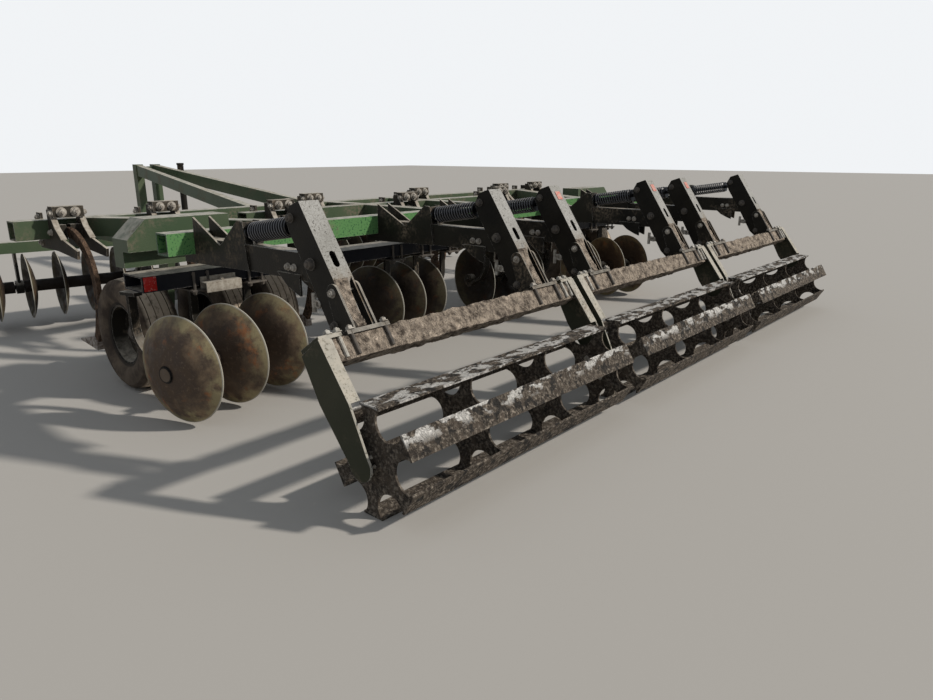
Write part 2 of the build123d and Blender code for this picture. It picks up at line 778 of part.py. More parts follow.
# Yokes: flange on the crossbar, two round-topped plates and the pin through the arm
with BuildPart() as yokes:
    for x in arm_places:
        with BuildSketch(arm_plane(x - flange_half)):
            with Locations((10, flange_thickness / 2)):
                Rectangle(flange_depth, flange_thickness)
        extrude(amount=2 * flange_half)
        for side in (-1, 1):
            edge = x + side * (arm_width / 2 + yoke_plate / 2) - yoke_plate / 2
            with BuildSketch(arm_plane(edge)):
                with BuildLine():
                    Polyline((-60, 0), (-60, yoke_pin_up), (yoke_pin_out + yoke_round, yoke_pin_up),
                             (90, 0), close=True)
                make_face()
                with Locations((yoke_pin_out, yoke_pin_up)):
                    Circle(yoke_round)
            extrude(amount=yoke_plate)
        with BuildSketch(arm_plane(x - arm_width / 2 - yoke_plate)):
            with Locations((yoke_pin_out, yoke_pin_up)):
                Circle(yoke_pin_radius)
        extrude(amount=arm_width + 2 * yoke_plate)
save(yokes.part, "yokes")

# Arm beams behind the rear beam, with the pivot pins through the arms
arm_beam_face = y0 + rear_beam_reach - rear_beam_size / 2
pivot = arm_plane(0).from_local_coords((pivot_out, pivot_up, 0))
with BuildPart() as arm_beams:
    for x in arm_places:
        add(square_tube((x, y0 + arm_beam_tail, beam_z), (x, arm_beam_face, beam_z),
                        arm_beam_width, tube_size, tube_wall))
        for side in (-1, 1):
            add(side_plate(x + side * (arm_beam_width + gusset_plate) / 2, gusset_plate,
                           gusset_outline))
        with Locations(Location((x, pivot.Y, pivot.Z), (0, 90, 0))):
            Cylinder(pivot_radius, arm_width + 30)
save(arm_beams.part, "arm_beams")

# Notched brackets either side of each arm beam, with the spring seat between them
beam_bottom = frame_top - tube_size
nose = Vector(0, y0 + spring_nose[0], spring_nose[1])
tail = Vector(0, y0 + spring_tail[0], spring_tail[1])
spring_line = (nose - tail).normalized()


def tail_at(height):
    """Point of the brackets' rear edge, square to the spring behind its seat."""
    behind = nose + spring_line * spring_seat
    return behind.Y - y0 - (height - behind.Z) * spring_line.Z / spring_line.Y, height


behind_beam = rear_beam_reach - rear_beam_size / 2
before_beam = rear_beam_reach + rear_beam_size / 2
under_beam = rear_beam_top - rear_beam_size
bracket_outline = [tail_at(beam_bottom), tail_at(bracket_peak), (bracket_top, bracket_peak),
                   bracket_notch, bracket_nose, (behind_beam, rear_beam_top),
                   (behind_beam, under_beam), (before_beam, under_beam),
                   (before_beam, bracket_low), (behind_beam, bracket_low)]
with BuildPart() as brackets:
    for x in arm_places:
        for side in (-1, 1):
            add(side_plate(x + side * (arm_beam_width + bracket_plate) / 2, bracket_plate,
                           bracket_outline))
        with BuildSketch(Plane(origin=nose + Vector(x, 0, 0), x_dir=(1, 0, 0),
                               z_dir=spring_line)):
            Rectangle(arm_beam_width + 2 * bracket_plate, spring_seat_height)
        extrude(amount=spring_seat)
save(brackets.part, "arm_brackets")

# Springs: stacked coils on a rod, capped at both ends
spring_length = (nose - tail).length
with BuildPart() as springs:
    for x in arm_places:
        base = Plane(origin=tail + Vector(x, 0, 0), x_dir=spring_line, z_dir=(1, 0, 0))
        pitch = (spring_length - 2 * spring_cap) / spring_turns
        with BuildSketch(base):
            core = spring_radius - spring_groove
            with BuildLine():
                Polyline((spring_cap, core), (spring_cap, spring_radius), (0, spring_radius),
                         (0, 0), (spring_length, 0), (spring_length, spring_radius),
                         (spring_length - spring_cap, spring_radius),
                         (spring_length - spring_cap, core))
                for i in range(spring_turns):
                    s = spring_cap + i * pitch
                    ThreePointArc((s, core), (s + pitch / 2, spring_radius), (s + pitch, core))
            make_face()
        revolve(axis=Axis(tail + Vector(x, 0, 0), spring_line))
save(springs.part, "arm_springs")

# Roller hangers: plate, rear flange, foot over the crossbar and the stub the roller turns on
hanger_outline = [(249, 807), (378, 704), (265, 499), (74, 265), (-50, 225), (-70, 285),
                  (56, 551)]
flange_outline = [(249, 807), (56, 551), (64, 546), (257, 801)]
with BuildPart() as hangers:
    for x in section_places:
        for side in (-1, 1):
            place = x + side * hanger_x
            add(side_plate(place, hanger_thickness, hanger_outline))
            add(side_plate(place - side * hanger_flange / 2, hanger_flange, flange_outline))
            with BuildSketch(Plane.YZ.offset(place - hanger_thickness / 2)):
                with Locations((y0, roller_axis_height)):
                    Circle(hanger_foot_radius)
            extrude(amount=hanger_thickness)
            stub_end = x + side * (roller_half - stub_in)
            with BuildSketch(Plane.YZ.offset(min(place, stub_end))):
                with Locations((y0, roller_axis_height)):
                    Circle(stub_radius)
            extrude(amount=abs(place - stub_end))
            with BuildSketch(arm_plane(min(place, place - side * 130))):
                with Locations((0, flange_thickness / 2)):
                    Rectangle(crossbar_size + 50, flange_thickness)
            extrude(amount=130)
save(hangers.part, "roller_hangers")

# Rollers: scalloped star plates carrying six flat bars, a bearing and a ring at either end
for name, x in zip(("left", "middle", "right"), section_places):
    with BuildPart() as roller:
        stars = [-roller_half + star_thickness / 2, *star_inner_places,
                 roller_half - star_thickness / 2]
        bar_seat = roller_axis_height - bar_thickness
        for place in stars:
            with BuildSketch(Plane.YZ.offset(x + place - star_thickness / 2)):
                with Locations((y0, roller_axis_height)):
                    RegularPolygon(bar_seat, bar_count, major_radius=False,
                                   rotation=90 - turn / 2)
                    with PolarLocations(star_scallop_circle, bar_count,
                                        start_angle=turn / 2 + 90):
                        Circle(star_scallop_radius, mode=Mode.SUBTRACT)
                    if place in star_inner_places:
                        Circle(star_eye_radius, mode=Mode.SUBTRACT)
            extrude(amount=star_thickness)
        for i in range(bar_count):
            angle = i * turn
            across = (0, cos(radians(angle)), sin(radians(angle)))
            out = Vector(0, sin(radians(angle)), -cos(radians(angle)))
            origin = Vector(x - roller_half, y0, roller_axis_height)
            middle = origin + out * (roller_axis_height - bar_thickness / 2)
            with BuildSketch(Plane(origin=middle, x_dir=across, z_dir=(1, 0, 0))):
                Rectangle(bar_width, bar_thickness)
            extrude(amount=2 * roller_half)
        for side in (-1, 1):
            inward = roller_half - star_thickness - bearing_thickness / 2
            with BuildSketch(Plane.YZ.offset(x + side * inward - bearing_thickness / 2)):
                with Locations((y0, roller_axis_height)):
                    RectangleRounded(bearing_size, bearing_size, bearing_corner)
            extrude(amount=bearing_thickness)
            outward = roller_half + end_ring_thickness / 2
            with BuildSketch(Plane.YZ.offset(x + side * outward - end_ring_thickness / 2)):
                with Locations((y0, roller_axis_height)):
                    Circle(end_ring_radius)
            extrude(amount=end_ring_thickness)
        with Locations(Location((x, y0, roller_axis_height), (0, 90, 0))):
            Cylinder(stub_radius + running_gap, 2 * hanger_x, mode=Mode.SUBTRACT)
    save(roller.part, f"roller_{name}")
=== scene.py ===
# %% [markdown]
# # A towed disc subsoiler, dressed
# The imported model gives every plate, tube, disc and wheel at its real size. This lesson gives
# them their finishes and adds what a welder and a fitter would add last: bolts, clamps, coils,
# tread, reflectors and caked soil. All lengths are metres: X to the right, Y to the front, Z up.

# %% Load the frame
import json
import math

import bmesh
import bpy
from mathutils import Matrix, Vector, noise


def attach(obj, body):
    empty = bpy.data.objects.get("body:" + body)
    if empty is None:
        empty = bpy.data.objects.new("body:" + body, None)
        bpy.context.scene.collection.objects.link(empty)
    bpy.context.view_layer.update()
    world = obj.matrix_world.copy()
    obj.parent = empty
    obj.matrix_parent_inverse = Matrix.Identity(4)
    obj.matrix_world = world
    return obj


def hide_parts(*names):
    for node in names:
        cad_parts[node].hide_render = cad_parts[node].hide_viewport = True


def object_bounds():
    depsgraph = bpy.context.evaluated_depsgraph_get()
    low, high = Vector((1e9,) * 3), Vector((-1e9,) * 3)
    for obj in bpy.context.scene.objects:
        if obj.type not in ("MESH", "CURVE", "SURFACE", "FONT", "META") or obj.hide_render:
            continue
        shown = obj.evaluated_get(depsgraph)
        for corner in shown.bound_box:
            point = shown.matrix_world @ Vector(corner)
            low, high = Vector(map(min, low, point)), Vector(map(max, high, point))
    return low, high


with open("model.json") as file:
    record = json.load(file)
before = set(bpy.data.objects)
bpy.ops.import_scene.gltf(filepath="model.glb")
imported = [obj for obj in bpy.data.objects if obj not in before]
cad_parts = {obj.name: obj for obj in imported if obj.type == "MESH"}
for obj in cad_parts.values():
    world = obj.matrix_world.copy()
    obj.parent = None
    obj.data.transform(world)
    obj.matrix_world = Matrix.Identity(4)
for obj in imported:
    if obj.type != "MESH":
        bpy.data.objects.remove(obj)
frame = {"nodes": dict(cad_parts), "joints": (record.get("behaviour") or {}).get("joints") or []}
cad_box = [list(corner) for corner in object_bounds()]
nodes = frame["nodes"]
hinges = {joint["child"]: joint for joint in frame["joints"] if joint["type"] == "hinge"}
hub_of = {body: Vector(joint["pos_m"]) for body, joint in hinges.items()}
print("frame of", len(nodes), "nodes, box", cad_box)

# %% [markdown]
# ## The camera
# The photograph was taken at head height from behind the machine's left rear corner, looking
# forward and down along the rollers. Its place was worked out from the lines of the frame that
# meet at the horizon. A camera turned by only two angles, heading and pitch, stays level.

# %% Camera
CAMERA_PLACE = (-4.911, -6.548, 1.600)
CAMERA_HEADING = 48.75          # degrees to the right of straight ahead
CAMERA_PITCH = 15.97            # degrees down
CAMERA_LENS = 26.62             # millimetres on a 36 mm sensor

camera_data = bpy.data.cameras.new("camera")
camera_data.lens = CAMERA_LENS
camera_data.sensor_width = 36
camera = bpy.data.objects.new("camera", camera_data)
camera.location = CAMERA_PLACE
camera.rotation_euler = (math.radians(90 - CAMERA_PITCH), 0, math.radians(-CAMERA_HEADING))
bpy.context.scene.collection.objects.link(camera)
bpy.context.scene.camera = camera
print("camera looks", tuple(round(v, 2) for v in camera.rotation_euler))

# %% [markdown]
# ## Light, floor and sky
# A low sun stands behind the machine and to its right, so tops and rear faces are bright and the
# sides that face the camera are dark. An even pale sky fills the shade and is what dark paint
# mirrors. The background colour is only for the camera, so it adds no light.

# %% Light and floor
def fill_socket(socket, value):
    if isinstance(value, bpy.types.NodeSocket):
        socket.id_data.links.new(value, socket)
    else:
        socket.default_value = value


def add_node(tree, kind, inputs=(), **settings):
    """One shader node. An input may be a plain value or another node's output."""
    made = tree.nodes.new(kind)
    for name, value in settings.items():
        setattr(made, name, value)
    for socket, value in dict(inputs).items():
        fill_socket(made.inputs[socket], value)
    return made


SUN_FROM = Vector((0.5, -0.65, 0.57))
SUN_STRENGTH = 3.5
SKY_STRENGTH = 0.45
SKY_COLOUR = (0.86, 0.92, 1.0, 1)
BACKGROUND = (0.88, 0.90, 0.92, 1)
FLOOR_COLOUR = (0.38, 0.36, 0.33, 1)

sun_data = bpy.data.lights.new("sun", "SUN")
sun_data.energy = SUN_STRENGTH
sun_data.angle = math.radians(3)
sun_data.color = (1.0, 0.95, 0.88)
sun = bpy.data.objects.new("sun", sun_data)
sun.rotation_euler = SUN_FROM.to_track_quat("Z", "Y").to_euler()
bpy.context.scene.collection.objects.link(sun)

world = bpy.data.worlds.new("sky")
world.use_nodes = True
bpy.context.scene.world = world
sky = world.node_tree
sky.nodes.clear()
fill = add_node(sky, "ShaderNodeBackground", {"Color": SKY_COLOUR, "Strength": SKY_STRENGTH})
seen = add_node(sky, "ShaderNodeBackground", {"Color": BACKGROUND, "Strength": 1.0})
path = add_node(sky, "ShaderNodeLightPath")
choice = add_node(sky, "ShaderNodeMixShader", {0: path.outputs["Is Camera Ray"],
                                               1: fill.outputs[0], 2: seen.outputs[0]})
add_node(sky, "ShaderNodeOutputWorld", {"Surface": choice.outputs[0]})
bpy.context.scene.view_settings.view_transform = "Standard"

floor_mesh = bmesh.new()
bmesh.ops.create_grid(floor_mesh, x_segments=1, y_segments=1, size=60)
floor_data = bpy.data.meshes.new("floor")
floor_mesh.to_mesh(floor_data)
floor_mesh.free()
floor = bpy.data.objects.new("floor", floor_data)
floor.location.z = cad_box[0][2] - 0.001
bpy.context.scene.collection.objects.link(floor)
floor_finish = bpy.data.materials.new("floor")
floor_finish.use_nodes = True
floor_shader = floor_finish.node_tree.nodes["Principled BSDF"]
floor_shader.inputs["Base Color"].default_value = FLOOR_COLOUR
floor_shader.inputs["Roughness"].default_value = 0.95
floor_data.materials.append(floor_finish)
print("floor at", round(floor.location.z, 4))

# %% [markdown]
# ## How the finishes are built
# Every surface here is the same story told with other colours: a base coat, dust that settles
# where a face looks up, soil thrown on in patches, and edges rubbed bare. So one helper makes
# each mask, and each finish chooses its own colours and amounts. A node or a socket knows its
# own tree, as id_data, so a helper needs only the sockets it works on. All patterns read Object
# coordinates, in metres, so a patch has its real size and stays on the piece when it moves.

# %% Masks for dust, soil and wear
def new_finish(name, roughness, shine=0.22):
    """An empty finish, its shader and the object coordinates."""
    finish = bpy.data.materials.new(name)
    finish.use_nodes = True
    shader = finish.node_tree.nodes["Principled BSDF"]
    shader.inputs["Roughness"].default_value = roughness
    shader.inputs["Specular IOR Level"].default_value = shine
    place = add_node(finish.node_tree, "ShaderNodeTexCoord").outputs["Object"]
    return finish, shader, place


def vector(operation, *values):
    return add_node(values[0].id_data, "ShaderNodeVectorMath", dict(enumerate(values)),
                    operation=operation)


def ramp(value, low, high):
    """0 at low, 1 at high and straight between them."""
    return add_node(value.id_data, "ShaderNodeMapRange", {
        "Value": value, "From Min": low, "From Max": high}).outputs[0]


def patches(place, size, low, high, detail=6.0, stretch=(1, 1, 1)):
    """Cloudy patches of about this size in metres, from 0 below low to 1 above high."""
    scaled = vector("MULTIPLY", place, stretch).outputs[0]
    cloud = add_node(place.id_data, "ShaderNodeTexNoise", {
        "Vector": scaled, "Scale": 1 / size, "Detail": detail, "Roughness": 0.62})
    return ramp(cloud.outputs["Fac"], low, high)


def facing(shader, direction, low=0.25, high=0.95):
    """1 where a face looks this way, 0 where it looks aside or away."""
    normal = add_node(shader.id_data, "ShaderNodeNewGeometry").outputs["Normal"]
    along = vector("DOT_PRODUCT", normal, direction)
    return ramp(along.outputs["Value"], low, high)


def rubbed_edges(shader, width):
    """1 within this many metres of a sharp edge, where paint rubs off first."""
    rounded = add_node(shader.id_data, "ShaderNodeBevel", {"Radius": width}, samples=4)
    normal = add_node(shader.id_data, "ShaderNodeNewGeometry").outputs["Normal"]
    same = vector("DOT_PRODUCT", rounded.outputs[0], normal)
    return ramp(same.outputs["Value"], 0.97, 0.80)


def worked(operation, *values):
    return add_node(values[0].id_data, "ShaderNodeMath", dict(enumerate(values)),
                    operation=operation).outputs[0]


def times(first, second):
    return worked("MULTIPLY", first, second)


def mixed(amount, under, over):
    """One colour laid over another by a mask."""
    node = add_node(amount.id_data, "ShaderNodeMix", data_type="RGBA")
    for socket, value in (("Factor", amount), (6, under), (7, over)):
        fill_socket(node.inputs[socket], value)
    return node.outputs[2]


def from_axis(place, centre, turn=0.0):
    """Distance from a shaft that lies along X, after turning it about Z."""
    centred = add_node(place.id_data, "ShaderNodeMapping", {
        "Vector": place, "Location": centre, "Rotation": (0, 0, turn)},
        vector_type="TEXTURE").outputs[0]
    flat = vector("MULTIPLY", centred, (0, 1, 1)).outputs[0]
    return vector("LENGTH", flat).outputs["Value"]


def use(shader, socket, value):
    fill_socket(shader.inputs[socket], value)


def use_colour(shader, colour):
    use(shader, "Base Color", colour)


def use_roughness(shader, mask, smooth, rough):
    use(shader, "Roughness", add_node(shader.id_data, "ShaderNodeMapRange", {
        "Value": mask, "To Min": smooth, "To Max": rough}).outputs[0])


def bumped(shader, height, distance, strength=1.0):
    use(shader, "Normal", add_node(shader.id_data, "ShaderNodeBump", {
        "Height": height, "Distance": distance, "Strength": strength}).outputs[0])


print("masks ready")

# %% [markdown]
# ## Enamel
# The frame is sprayed green and the tools behind it near black. Years of field work leave pale
# dust on top, brown splashes from the wheels and discs, and dull bright lines along the edges.
# The back of the rear beam is painted a lighter yellowish green and the roller hangers' back edges
# grey, as painted sunlight on the faces that look back towards the sun. The splashes are two sizes
# of patches multiplied, because one size alone looks like camouflage.

# %% Enamel finishes
DUST = (0.50, 0.45, 0.37, 1)
SOIL = (0.16, 0.125, 0.09, 1)
BARE_EDGE = (0.34, 0.32, 0.29, 1)
UP = (0, 0, 1)
BACK = (0, -1, 0)


def enamel(name, colour, dust_amount, soil_low, faded, gloss=0.38, shine=0.22, sunlit_back=None):
    """Sprayed enamel under dust and thrown soil, and painted sunlight on faces that look back, if
    given.
    """
    finish, shader, place = new_finish(name, gloss, shine)
    fading = patches(place, 0.55, 0.35, 0.75)
    base = mixed(fading, colour, faded)
    if sunlit_back:
        # Faces that look back, towards the sun, take the lighter colour: painted sunlight.
        specks = ramp(patches(place, 0.014, 0.56, 0.62, detail=3), 1, 0)
        base = mixed(times(facing(shader, BACK, 0.5, 0.8), specks), base, sunlit_back)
    film = patches(place, 0.05, 0.22, 0.62, detail=8)
    dust = times(times(facing(shader, UP), film), dust_amount)
    coat = mixed(dust, base, DUST)
    splash = times(patches(place, 0.35, soil_low, soil_low + 0.16),
                   patches(place, 0.02, 0.42, 0.62, detail=3))
    dirty = mixed(splash, coat, SOIL)
    chips = times(rubbed_edges(shader, 0.005), patches(place, 0.03, 0.40, 0.58))
    use_colour(shader, mixed(chips, dirty, BARE_EDGE))
    use_roughness(shader, splash, gloss, 0.9)
    bumped(shader, patches(place, 0.012, 0.3, 0.8, detail=4), 0.0012, 0.5)
    return finish


green_enamel = enamel("green_enamel", (0.050, 0.078, 0.042, 1), 0.9, 0.50,
                      (0.085, 0.105, 0.062, 1))
# The rear beam's lighter back is painted sunlight.
beam_enamel = enamel("beam_enamel", (0.014, 0.062, 0.028, 1), 0.95, 0.56,
                     (0.022, 0.080, 0.036, 1), sunlit_back=(0.095, 0.22, 0.078, 1))
black_enamel = enamel("black_enamel", (0.013, 0.012, 0.010, 1), 0.85, 0.50,
                      (0.030, 0.026, 0.020, 1), shine=0.12)
toolbar_enamel = enamel("toolbar_enamel", (0.009, 0.010, 0.014, 1), 0.7, 0.54,
                        (0.020, 0.020, 0.022, 1), shine=0.12)
dusty_black = enamel("dusty_black", (0.026, 0.023, 0.018, 1), 1.0, 0.48,
                     (0.055, 0.047, 0.036, 1), gloss=0.6, shine=0.12)
# The hangers' grey back edges are painted sunlight.
hanger_enamel = enamel("hanger_enamel", (0.034, 0.036, 0.023, 1), 1.0, 0.52,
                       (0.055, 0.054, 0.036, 1), gloss=0.6, shine=0.12,
                       sunlit_back=(0.27, 0.26, 0.225, 1))
print("enamels", green_enamel.name, beam_enamel.name, black_enamel.name, toolbar_enamel.name)

# %% [markdown]
# ## Pale backs on the leaning arms
# The arms lean forward, so each back plate lies like a shelf and has turned pale grey with dust,
# while the side plates stay dark. One finish does both: it compares each face's direction with
# the one that the back plates look along. Small dark specks are where dew has washed the dust.

# %% Arm finish
LEAN = math.radians(34)
ARM_OUT = Vector((0, math.cos(LEAN), -math.sin(LEAN)))
ARM_UP = Vector((0, math.sin(LEAN), math.cos(LEAN)))
SEAT_REACH = 0.313               # the middle of the crossbar's upper face, where an arm stands
SEAT_HEIGHT = 0.756
MUD_REACH = 0.36                 # how far soil is thrown up the back plates from there
MUD_TOP = (hub_of["roller_middle"].y * ARM_UP.y + SEAT_REACH * ARM_UP.y + SEAT_HEIGHT * ARM_UP.z
           + MUD_REACH)


def arm_enamel(name):
    finish, shader, place = new_finish(name, 0.5, 0.12)
    side = mixed(patches(place, 0.2, 0.35, 0.7), (0.012, 0.0105, 0.0085, 1),
                 (0.022, 0.019, 0.014, 1))
    washed = patches(place, 0.3, 0.35, 0.75, detail=8)
    back = mixed(washed, (0.36, 0.355, 0.335, 1), (0.24, 0.235, 0.215, 1))
    film = patches(place, 0.007, 0.46, 0.60, detail=4)
    back = mixed(times(film, 0.45), back, (0.12, 0.11, 0.095, 1))
    specks = patches(place, 0.013, 0.61, 0.66, detail=2)
    back = mixed(times(specks, 0.8), back, (0.05, 0.045, 0.036, 1))
    seen_back = facing(shader, -ARM_OUT, 0.55, 0.8)
    height = vector("DOT_PRODUCT", place, ARM_UP).outputs["Value"]
    splashed = times(ramp(height, MUD_TOP, MUD_TOP - 0.16),
                     patches(place, 0.07, 0.36, 0.52, detail=8))
    back = mixed(splashed, back, (0.19, 0.145, 0.10, 1))
    coat = mixed(seen_back, side, back)
    chips = times(rubbed_edges(shader, 0.004), patches(place, 0.03, 0.42, 0.6))
    use_colour(shader, mixed(chips, coat, BARE_EDGE))
    use_roughness(shader, seen_back, 0.42, 0.9)
    bumped(shader, patches(place, 0.01, 0.3, 0.8, detail=4), 0.001, 0.5)
    return finish


arm_coat = arm_enamel("arm_enamel")
print("arm finish", arm_coat.name)

# %% [markdown]
# ## Caked soil
# Behind the discs, wet soil lands on the crossbars and dries grey brown. Little paint is left to
# see, so the finish is soil first, in three grain sizes, with darker hollows that are partly wet
# soil and partly painted shade, and it is the bump rather than the colour that makes it look
# thick. Shanks wear the same coat. Tyres are muddy on the walls, and their ribs are pale with dry
# dust and paler still with painted sunlight.

# %% Soil finishes
def caked_soil(name, dry, damp_and_shade, paint, bare_low=0.60):
    finish, shader, place = new_finish(name, 0.95)
    clods = patches(place, 0.045, 0.36, 0.60, detail=10)
    crumbs = patches(place, 0.020, 0.42, 0.66, detail=5)
    # The hollows' dark colour is partly wet soil and partly painted shade.
    soil = mixed(clods, damp_and_shade, dry)
    lit = (dry[0] * 1.15, dry[1] * 1.14, dry[2] * 1.12, 1)
    speckled = mixed(times(crumbs, clods), soil, lit)
    bare = patches(place, 0.16, bare_low, bare_low + 0.06)
    use_colour(shader, mixed(bare, speckled, paint))
    bumped(shader, worked("ADD", clods, crumbs), 0.014, 0.9)
    return finish


caked = caked_soil("caked_soil", (0.38, 0.315, 0.25, 1), (0.080, 0.063, 0.049, 1),
                   (0.035, 0.032, 0.028, 1), 0.66)
shank_rust = caked_soil("shank_rust", (0.15, 0.095, 0.062, 1), (0.055, 0.036, 0.025, 1),
                        (0.025, 0.019, 0.016, 1))


def tyre_finish(name):
    """Mud on the walls; from the grooves' bottom out, pale ribs of dry dust and painted sunlight.
    """
    finish, shader, place = new_finish(name, 0.95)
    axle = hub_of["wheels_left_outer"]
    radius = from_axis(place, axle)
    mud = mixed(patches(place, 0.12, 0.38, 0.62, detail=10),
                (0.048, 0.036, 0.028, 1), (0.125, 0.096, 0.070, 1))
    # The ribs' pale colour is partly dry dust and partly painted sunlight.
    rib_dust_and_light = times(ramp(radius, 0.3795, 0.3835),
                   patches(place, 0.06, 0.26, 0.46, detail=6))
    coat = mixed(rib_dust_and_light, mud, (0.52, 0.43, 0.33, 1))
    bead = times(ramp(radius, 0.232, 0.222), 0.7)
    use_colour(shader, mixed(bead, coat, (0.016, 0.015, 0.014, 1)))
    bumped(shader, patches(place, 0.03, 0.3, 0.7, detail=8), 0.003, 0.5)
    return finish


tyre_rubber = tyre_finish("tyre_rubber")
print("soil", caked.name, shank_rust.name, tyre_rubber.name)

# %% [markdown]
# ## Scoured roller bars
# Only the outer faces of the bars rub on the ground, and they are worn nearly white in ragged
# patches that run along the bar. All the rest of the roller is brown with dried soil. The worn
# patches are multiplied by the distance from the roller's axis, which a Mapping node gives, and
# by the height at rest, so the pale steel shows only on the top bars, as painted sunlight.

# %% Roller finish
BAR_FACE_FROM = 0.262            # distances from the axis between which the wear begins
BAR_FACE_TO = 0.268
LIT_TOP_FROM = 0.395                # heights at rest between which soil gives way to worn steel, as painted sunlight
LIT_TOP_TO = 0.430
roller_hub = hub_of["roller_middle"]


def roller_finish(name):
    finish, shader, place = new_finish(name, 0.9)
    outer = ramp(from_axis(place, roller_hub), BAR_FACE_FROM, BAR_FACE_TO)
    clods = patches(place, 0.05, 0.35, 0.68, detail=10)
    crumbs = patches(place, 0.018, 0.46, 0.62, detail=8)
    mud = mixed(clods, (0.022, 0.018, 0.015, 1), (0.095, 0.075, 0.057, 1))
    mud = mixed(times(crumbs, 0.8), mud, (0.27, 0.23, 0.185, 1))
    worn_and_lit = patches(place, 0.055, 0.505, 0.475, detail=12, stretch=(0.55, 1, 1))
    tall = add_node(place.id_data, "ShaderNodeSeparateXYZ", {0: place}).outputs["Z"]
    # Only the top bars at rest show the pale steel: painted sunlight.
    lit_top = ramp(tall, LIT_TOP_FROM, LIT_TOP_TO)
    worn_and_lit = times(times(outer, worn_and_lit), lit_top)
    grain = patches(place, 0.008, 0.3, 0.7, detail=4)
    steel = mixed(grain, (0.66, 0.64, 0.60, 1), (0.42, 0.40, 0.37, 1))
    paint = times(outer, patches(place, 0.06, 0.54, 0.58, detail=8))
    coat = mixed(paint, mud, (0.03, 0.027, 0.024, 1))
    use_colour(shader, mixed(worn_and_lit, coat, steel))
    use_roughness(shader, worn_and_lit, 0.92, 0.42)
    height = worked("SUBTRACT", worked("ADD", clods, crumbs), worn_and_lit)
    bumped(shader, height, 0.008, 0.9)
    return finish


roller_steel = roller_finish("roller_steel")
print("roller", roller_steel.name)

# %% [markdown]
# ## Discs
# Each disc is brown with a paler yellowish rim that the soil keeps clean in places, a middle
# darkened as painted shade, and faint rings scratched by stones. The finish is made once for each
# gang, because each shaft has its own place and angle, and the rings need the distance from it.
# The gangs that lie in shadow have all their colours darkened as painted shade.

# %% Disc finish, one for each gang
REAR_DISC = 0.333
FRONT_DISC = 0.305
# How much darker the discs of a gang in shadow are: painted shade.
SHADED_GANG_TONE = 0.28


def disc_steel(name, hub, turn, size, shade_tone):
    """Tone 1 is the pale, worn gang; less darkens all colours as painted shade, for a shaded gang.
    """
    finish, shader, place = new_finish(name, 0.6)
    radius = from_axis(place, hub, turn)
    rings = add_node(place.id_data, "ShaderNodeTexNoise", {
        "W": radius, "Scale": 120.0, "Detail": 3.0}, noise_dimensions="1D").outputs["Fac"]

    def colour(*rgb):
        return tuple(value * shade_tone for value in rgb) + (1,)

    rust = patches(place, 0.09, 0.40, 0.60, detail=12)
    brown = mixed(rust, colour(0.070, 0.047, 0.033), colour(0.195, 0.135, 0.085))
    orange = times(patches(place, 0.11, 0.56, 0.64, detail=10),
                   ramp(radius, size * 0.40, size * 0.60))
    rusted = mixed(orange, brown, colour(0.30, 0.115, 0.045))
    ringed = mixed(times(rings, 0.3), rusted, colour(0.22, 0.175, 0.115))
    ragged = worked("ADD", patches(place, 0.10, 0.3, 0.7, detail=10), -0.5)
    wavy = worked("MULTIPLY_ADD", ragged, size * 0.42, radius)
    rim = times(ramp(wavy, size * 0.78, size * 0.94),
                patches(place, 0.16, 0.36, 0.56, detail=4))
    worn_rim = mixed(rim, ringed, colour(0.27, 0.225, 0.125))
    # The disc's middle is darkened as painted shade.
    middle = times(ramp(wavy, size * 0.80, size * 0.52), 0.80)
    shaded = mixed(middle, worn_rim, colour(0.062, 0.042, 0.031))
    flecks = times(patches(place, 0.022, 0.56, 0.66, detail=8), 0.6)
    flecked = mixed(flecks, shaded, colour(0.16, 0.115, 0.08))
    lip = times(ramp(radius, size * 0.980, size * 0.990), 0.9)
    edged = mixed(lip, flecked, (0.36, 0.34, 0.29, 1))
    ring = times(ramp(radius, 0.056, 0.052), ramp(radius, 0.040, 0.044))
    ringed_hub = mixed(ring, edged, (0.012, 0.011, 0.010, 1))
    nut_soil = ramp(radius, 0.042, 0.038)
    use_colour(shader, mixed(nut_soil, ringed_hub, colour(0.12, 0.09, 0.065)))
    use_roughness(shader, rust, 0.45, 0.85)
    bumped(shader, ragged, 0.003, 0.6)
    return finish


def dress(node_name, finish):
    nodes[node_name].data.materials.clear()
    nodes[node_name].data.materials.append(finish)


for body, joint in hinges.items():
    if body.endswith("_gang"):
        size = FRONT_DISC if body.startswith("front") else REAR_DISC
        turn = math.atan2(joint["axis"][1], joint["axis"][0])
        # Every gang but the outer rear ones is darkened as painted shade.
        shade_tone = 1.0 if body.startswith("rear_outer") else SHADED_GANG_TONE
        dress(body, disc_steel(body + "_steel", hub_of[body], turn, size, shade_tone))
        print(body, "hub at", joint["pos_m"])

# %% [markdown]
# ## Small steel
# Bolts and pins are plated and stay paler than the paint round them. Springs are sprayed black.
# Points are scoured by the subsoil, bright with brown hollows. Reflectors are red plastic that
# the sun has bleached on the arms.

# %% Small finishes
def plain_steel(name, pale, dark, rough):
    finish, shader, place = new_finish(name, rough)
    cloud = patches(place, 0.03, 0.38, 0.66, detail=8)
    use_colour(shader, mixed(cloud, pale, dark))
    use_roughness(shader, cloud, rough, 0.85)
    bumped(shader, cloud, 0.0008, 0.5)
    return finish


def sprayed_wire(name, colour, dust_amount):
    """Glossy black with a little dust. A bump would break the highlight on a wire this thin."""
    finish, shader, place = new_finish(name, 0.28, 0.35)
    film = times(facing(shader, UP, 0.5, 1.0), patches(place, 0.03, 0.45, 0.65))
    use_colour(shader, mixed(times(film, dust_amount), colour, DUST))
    return finish


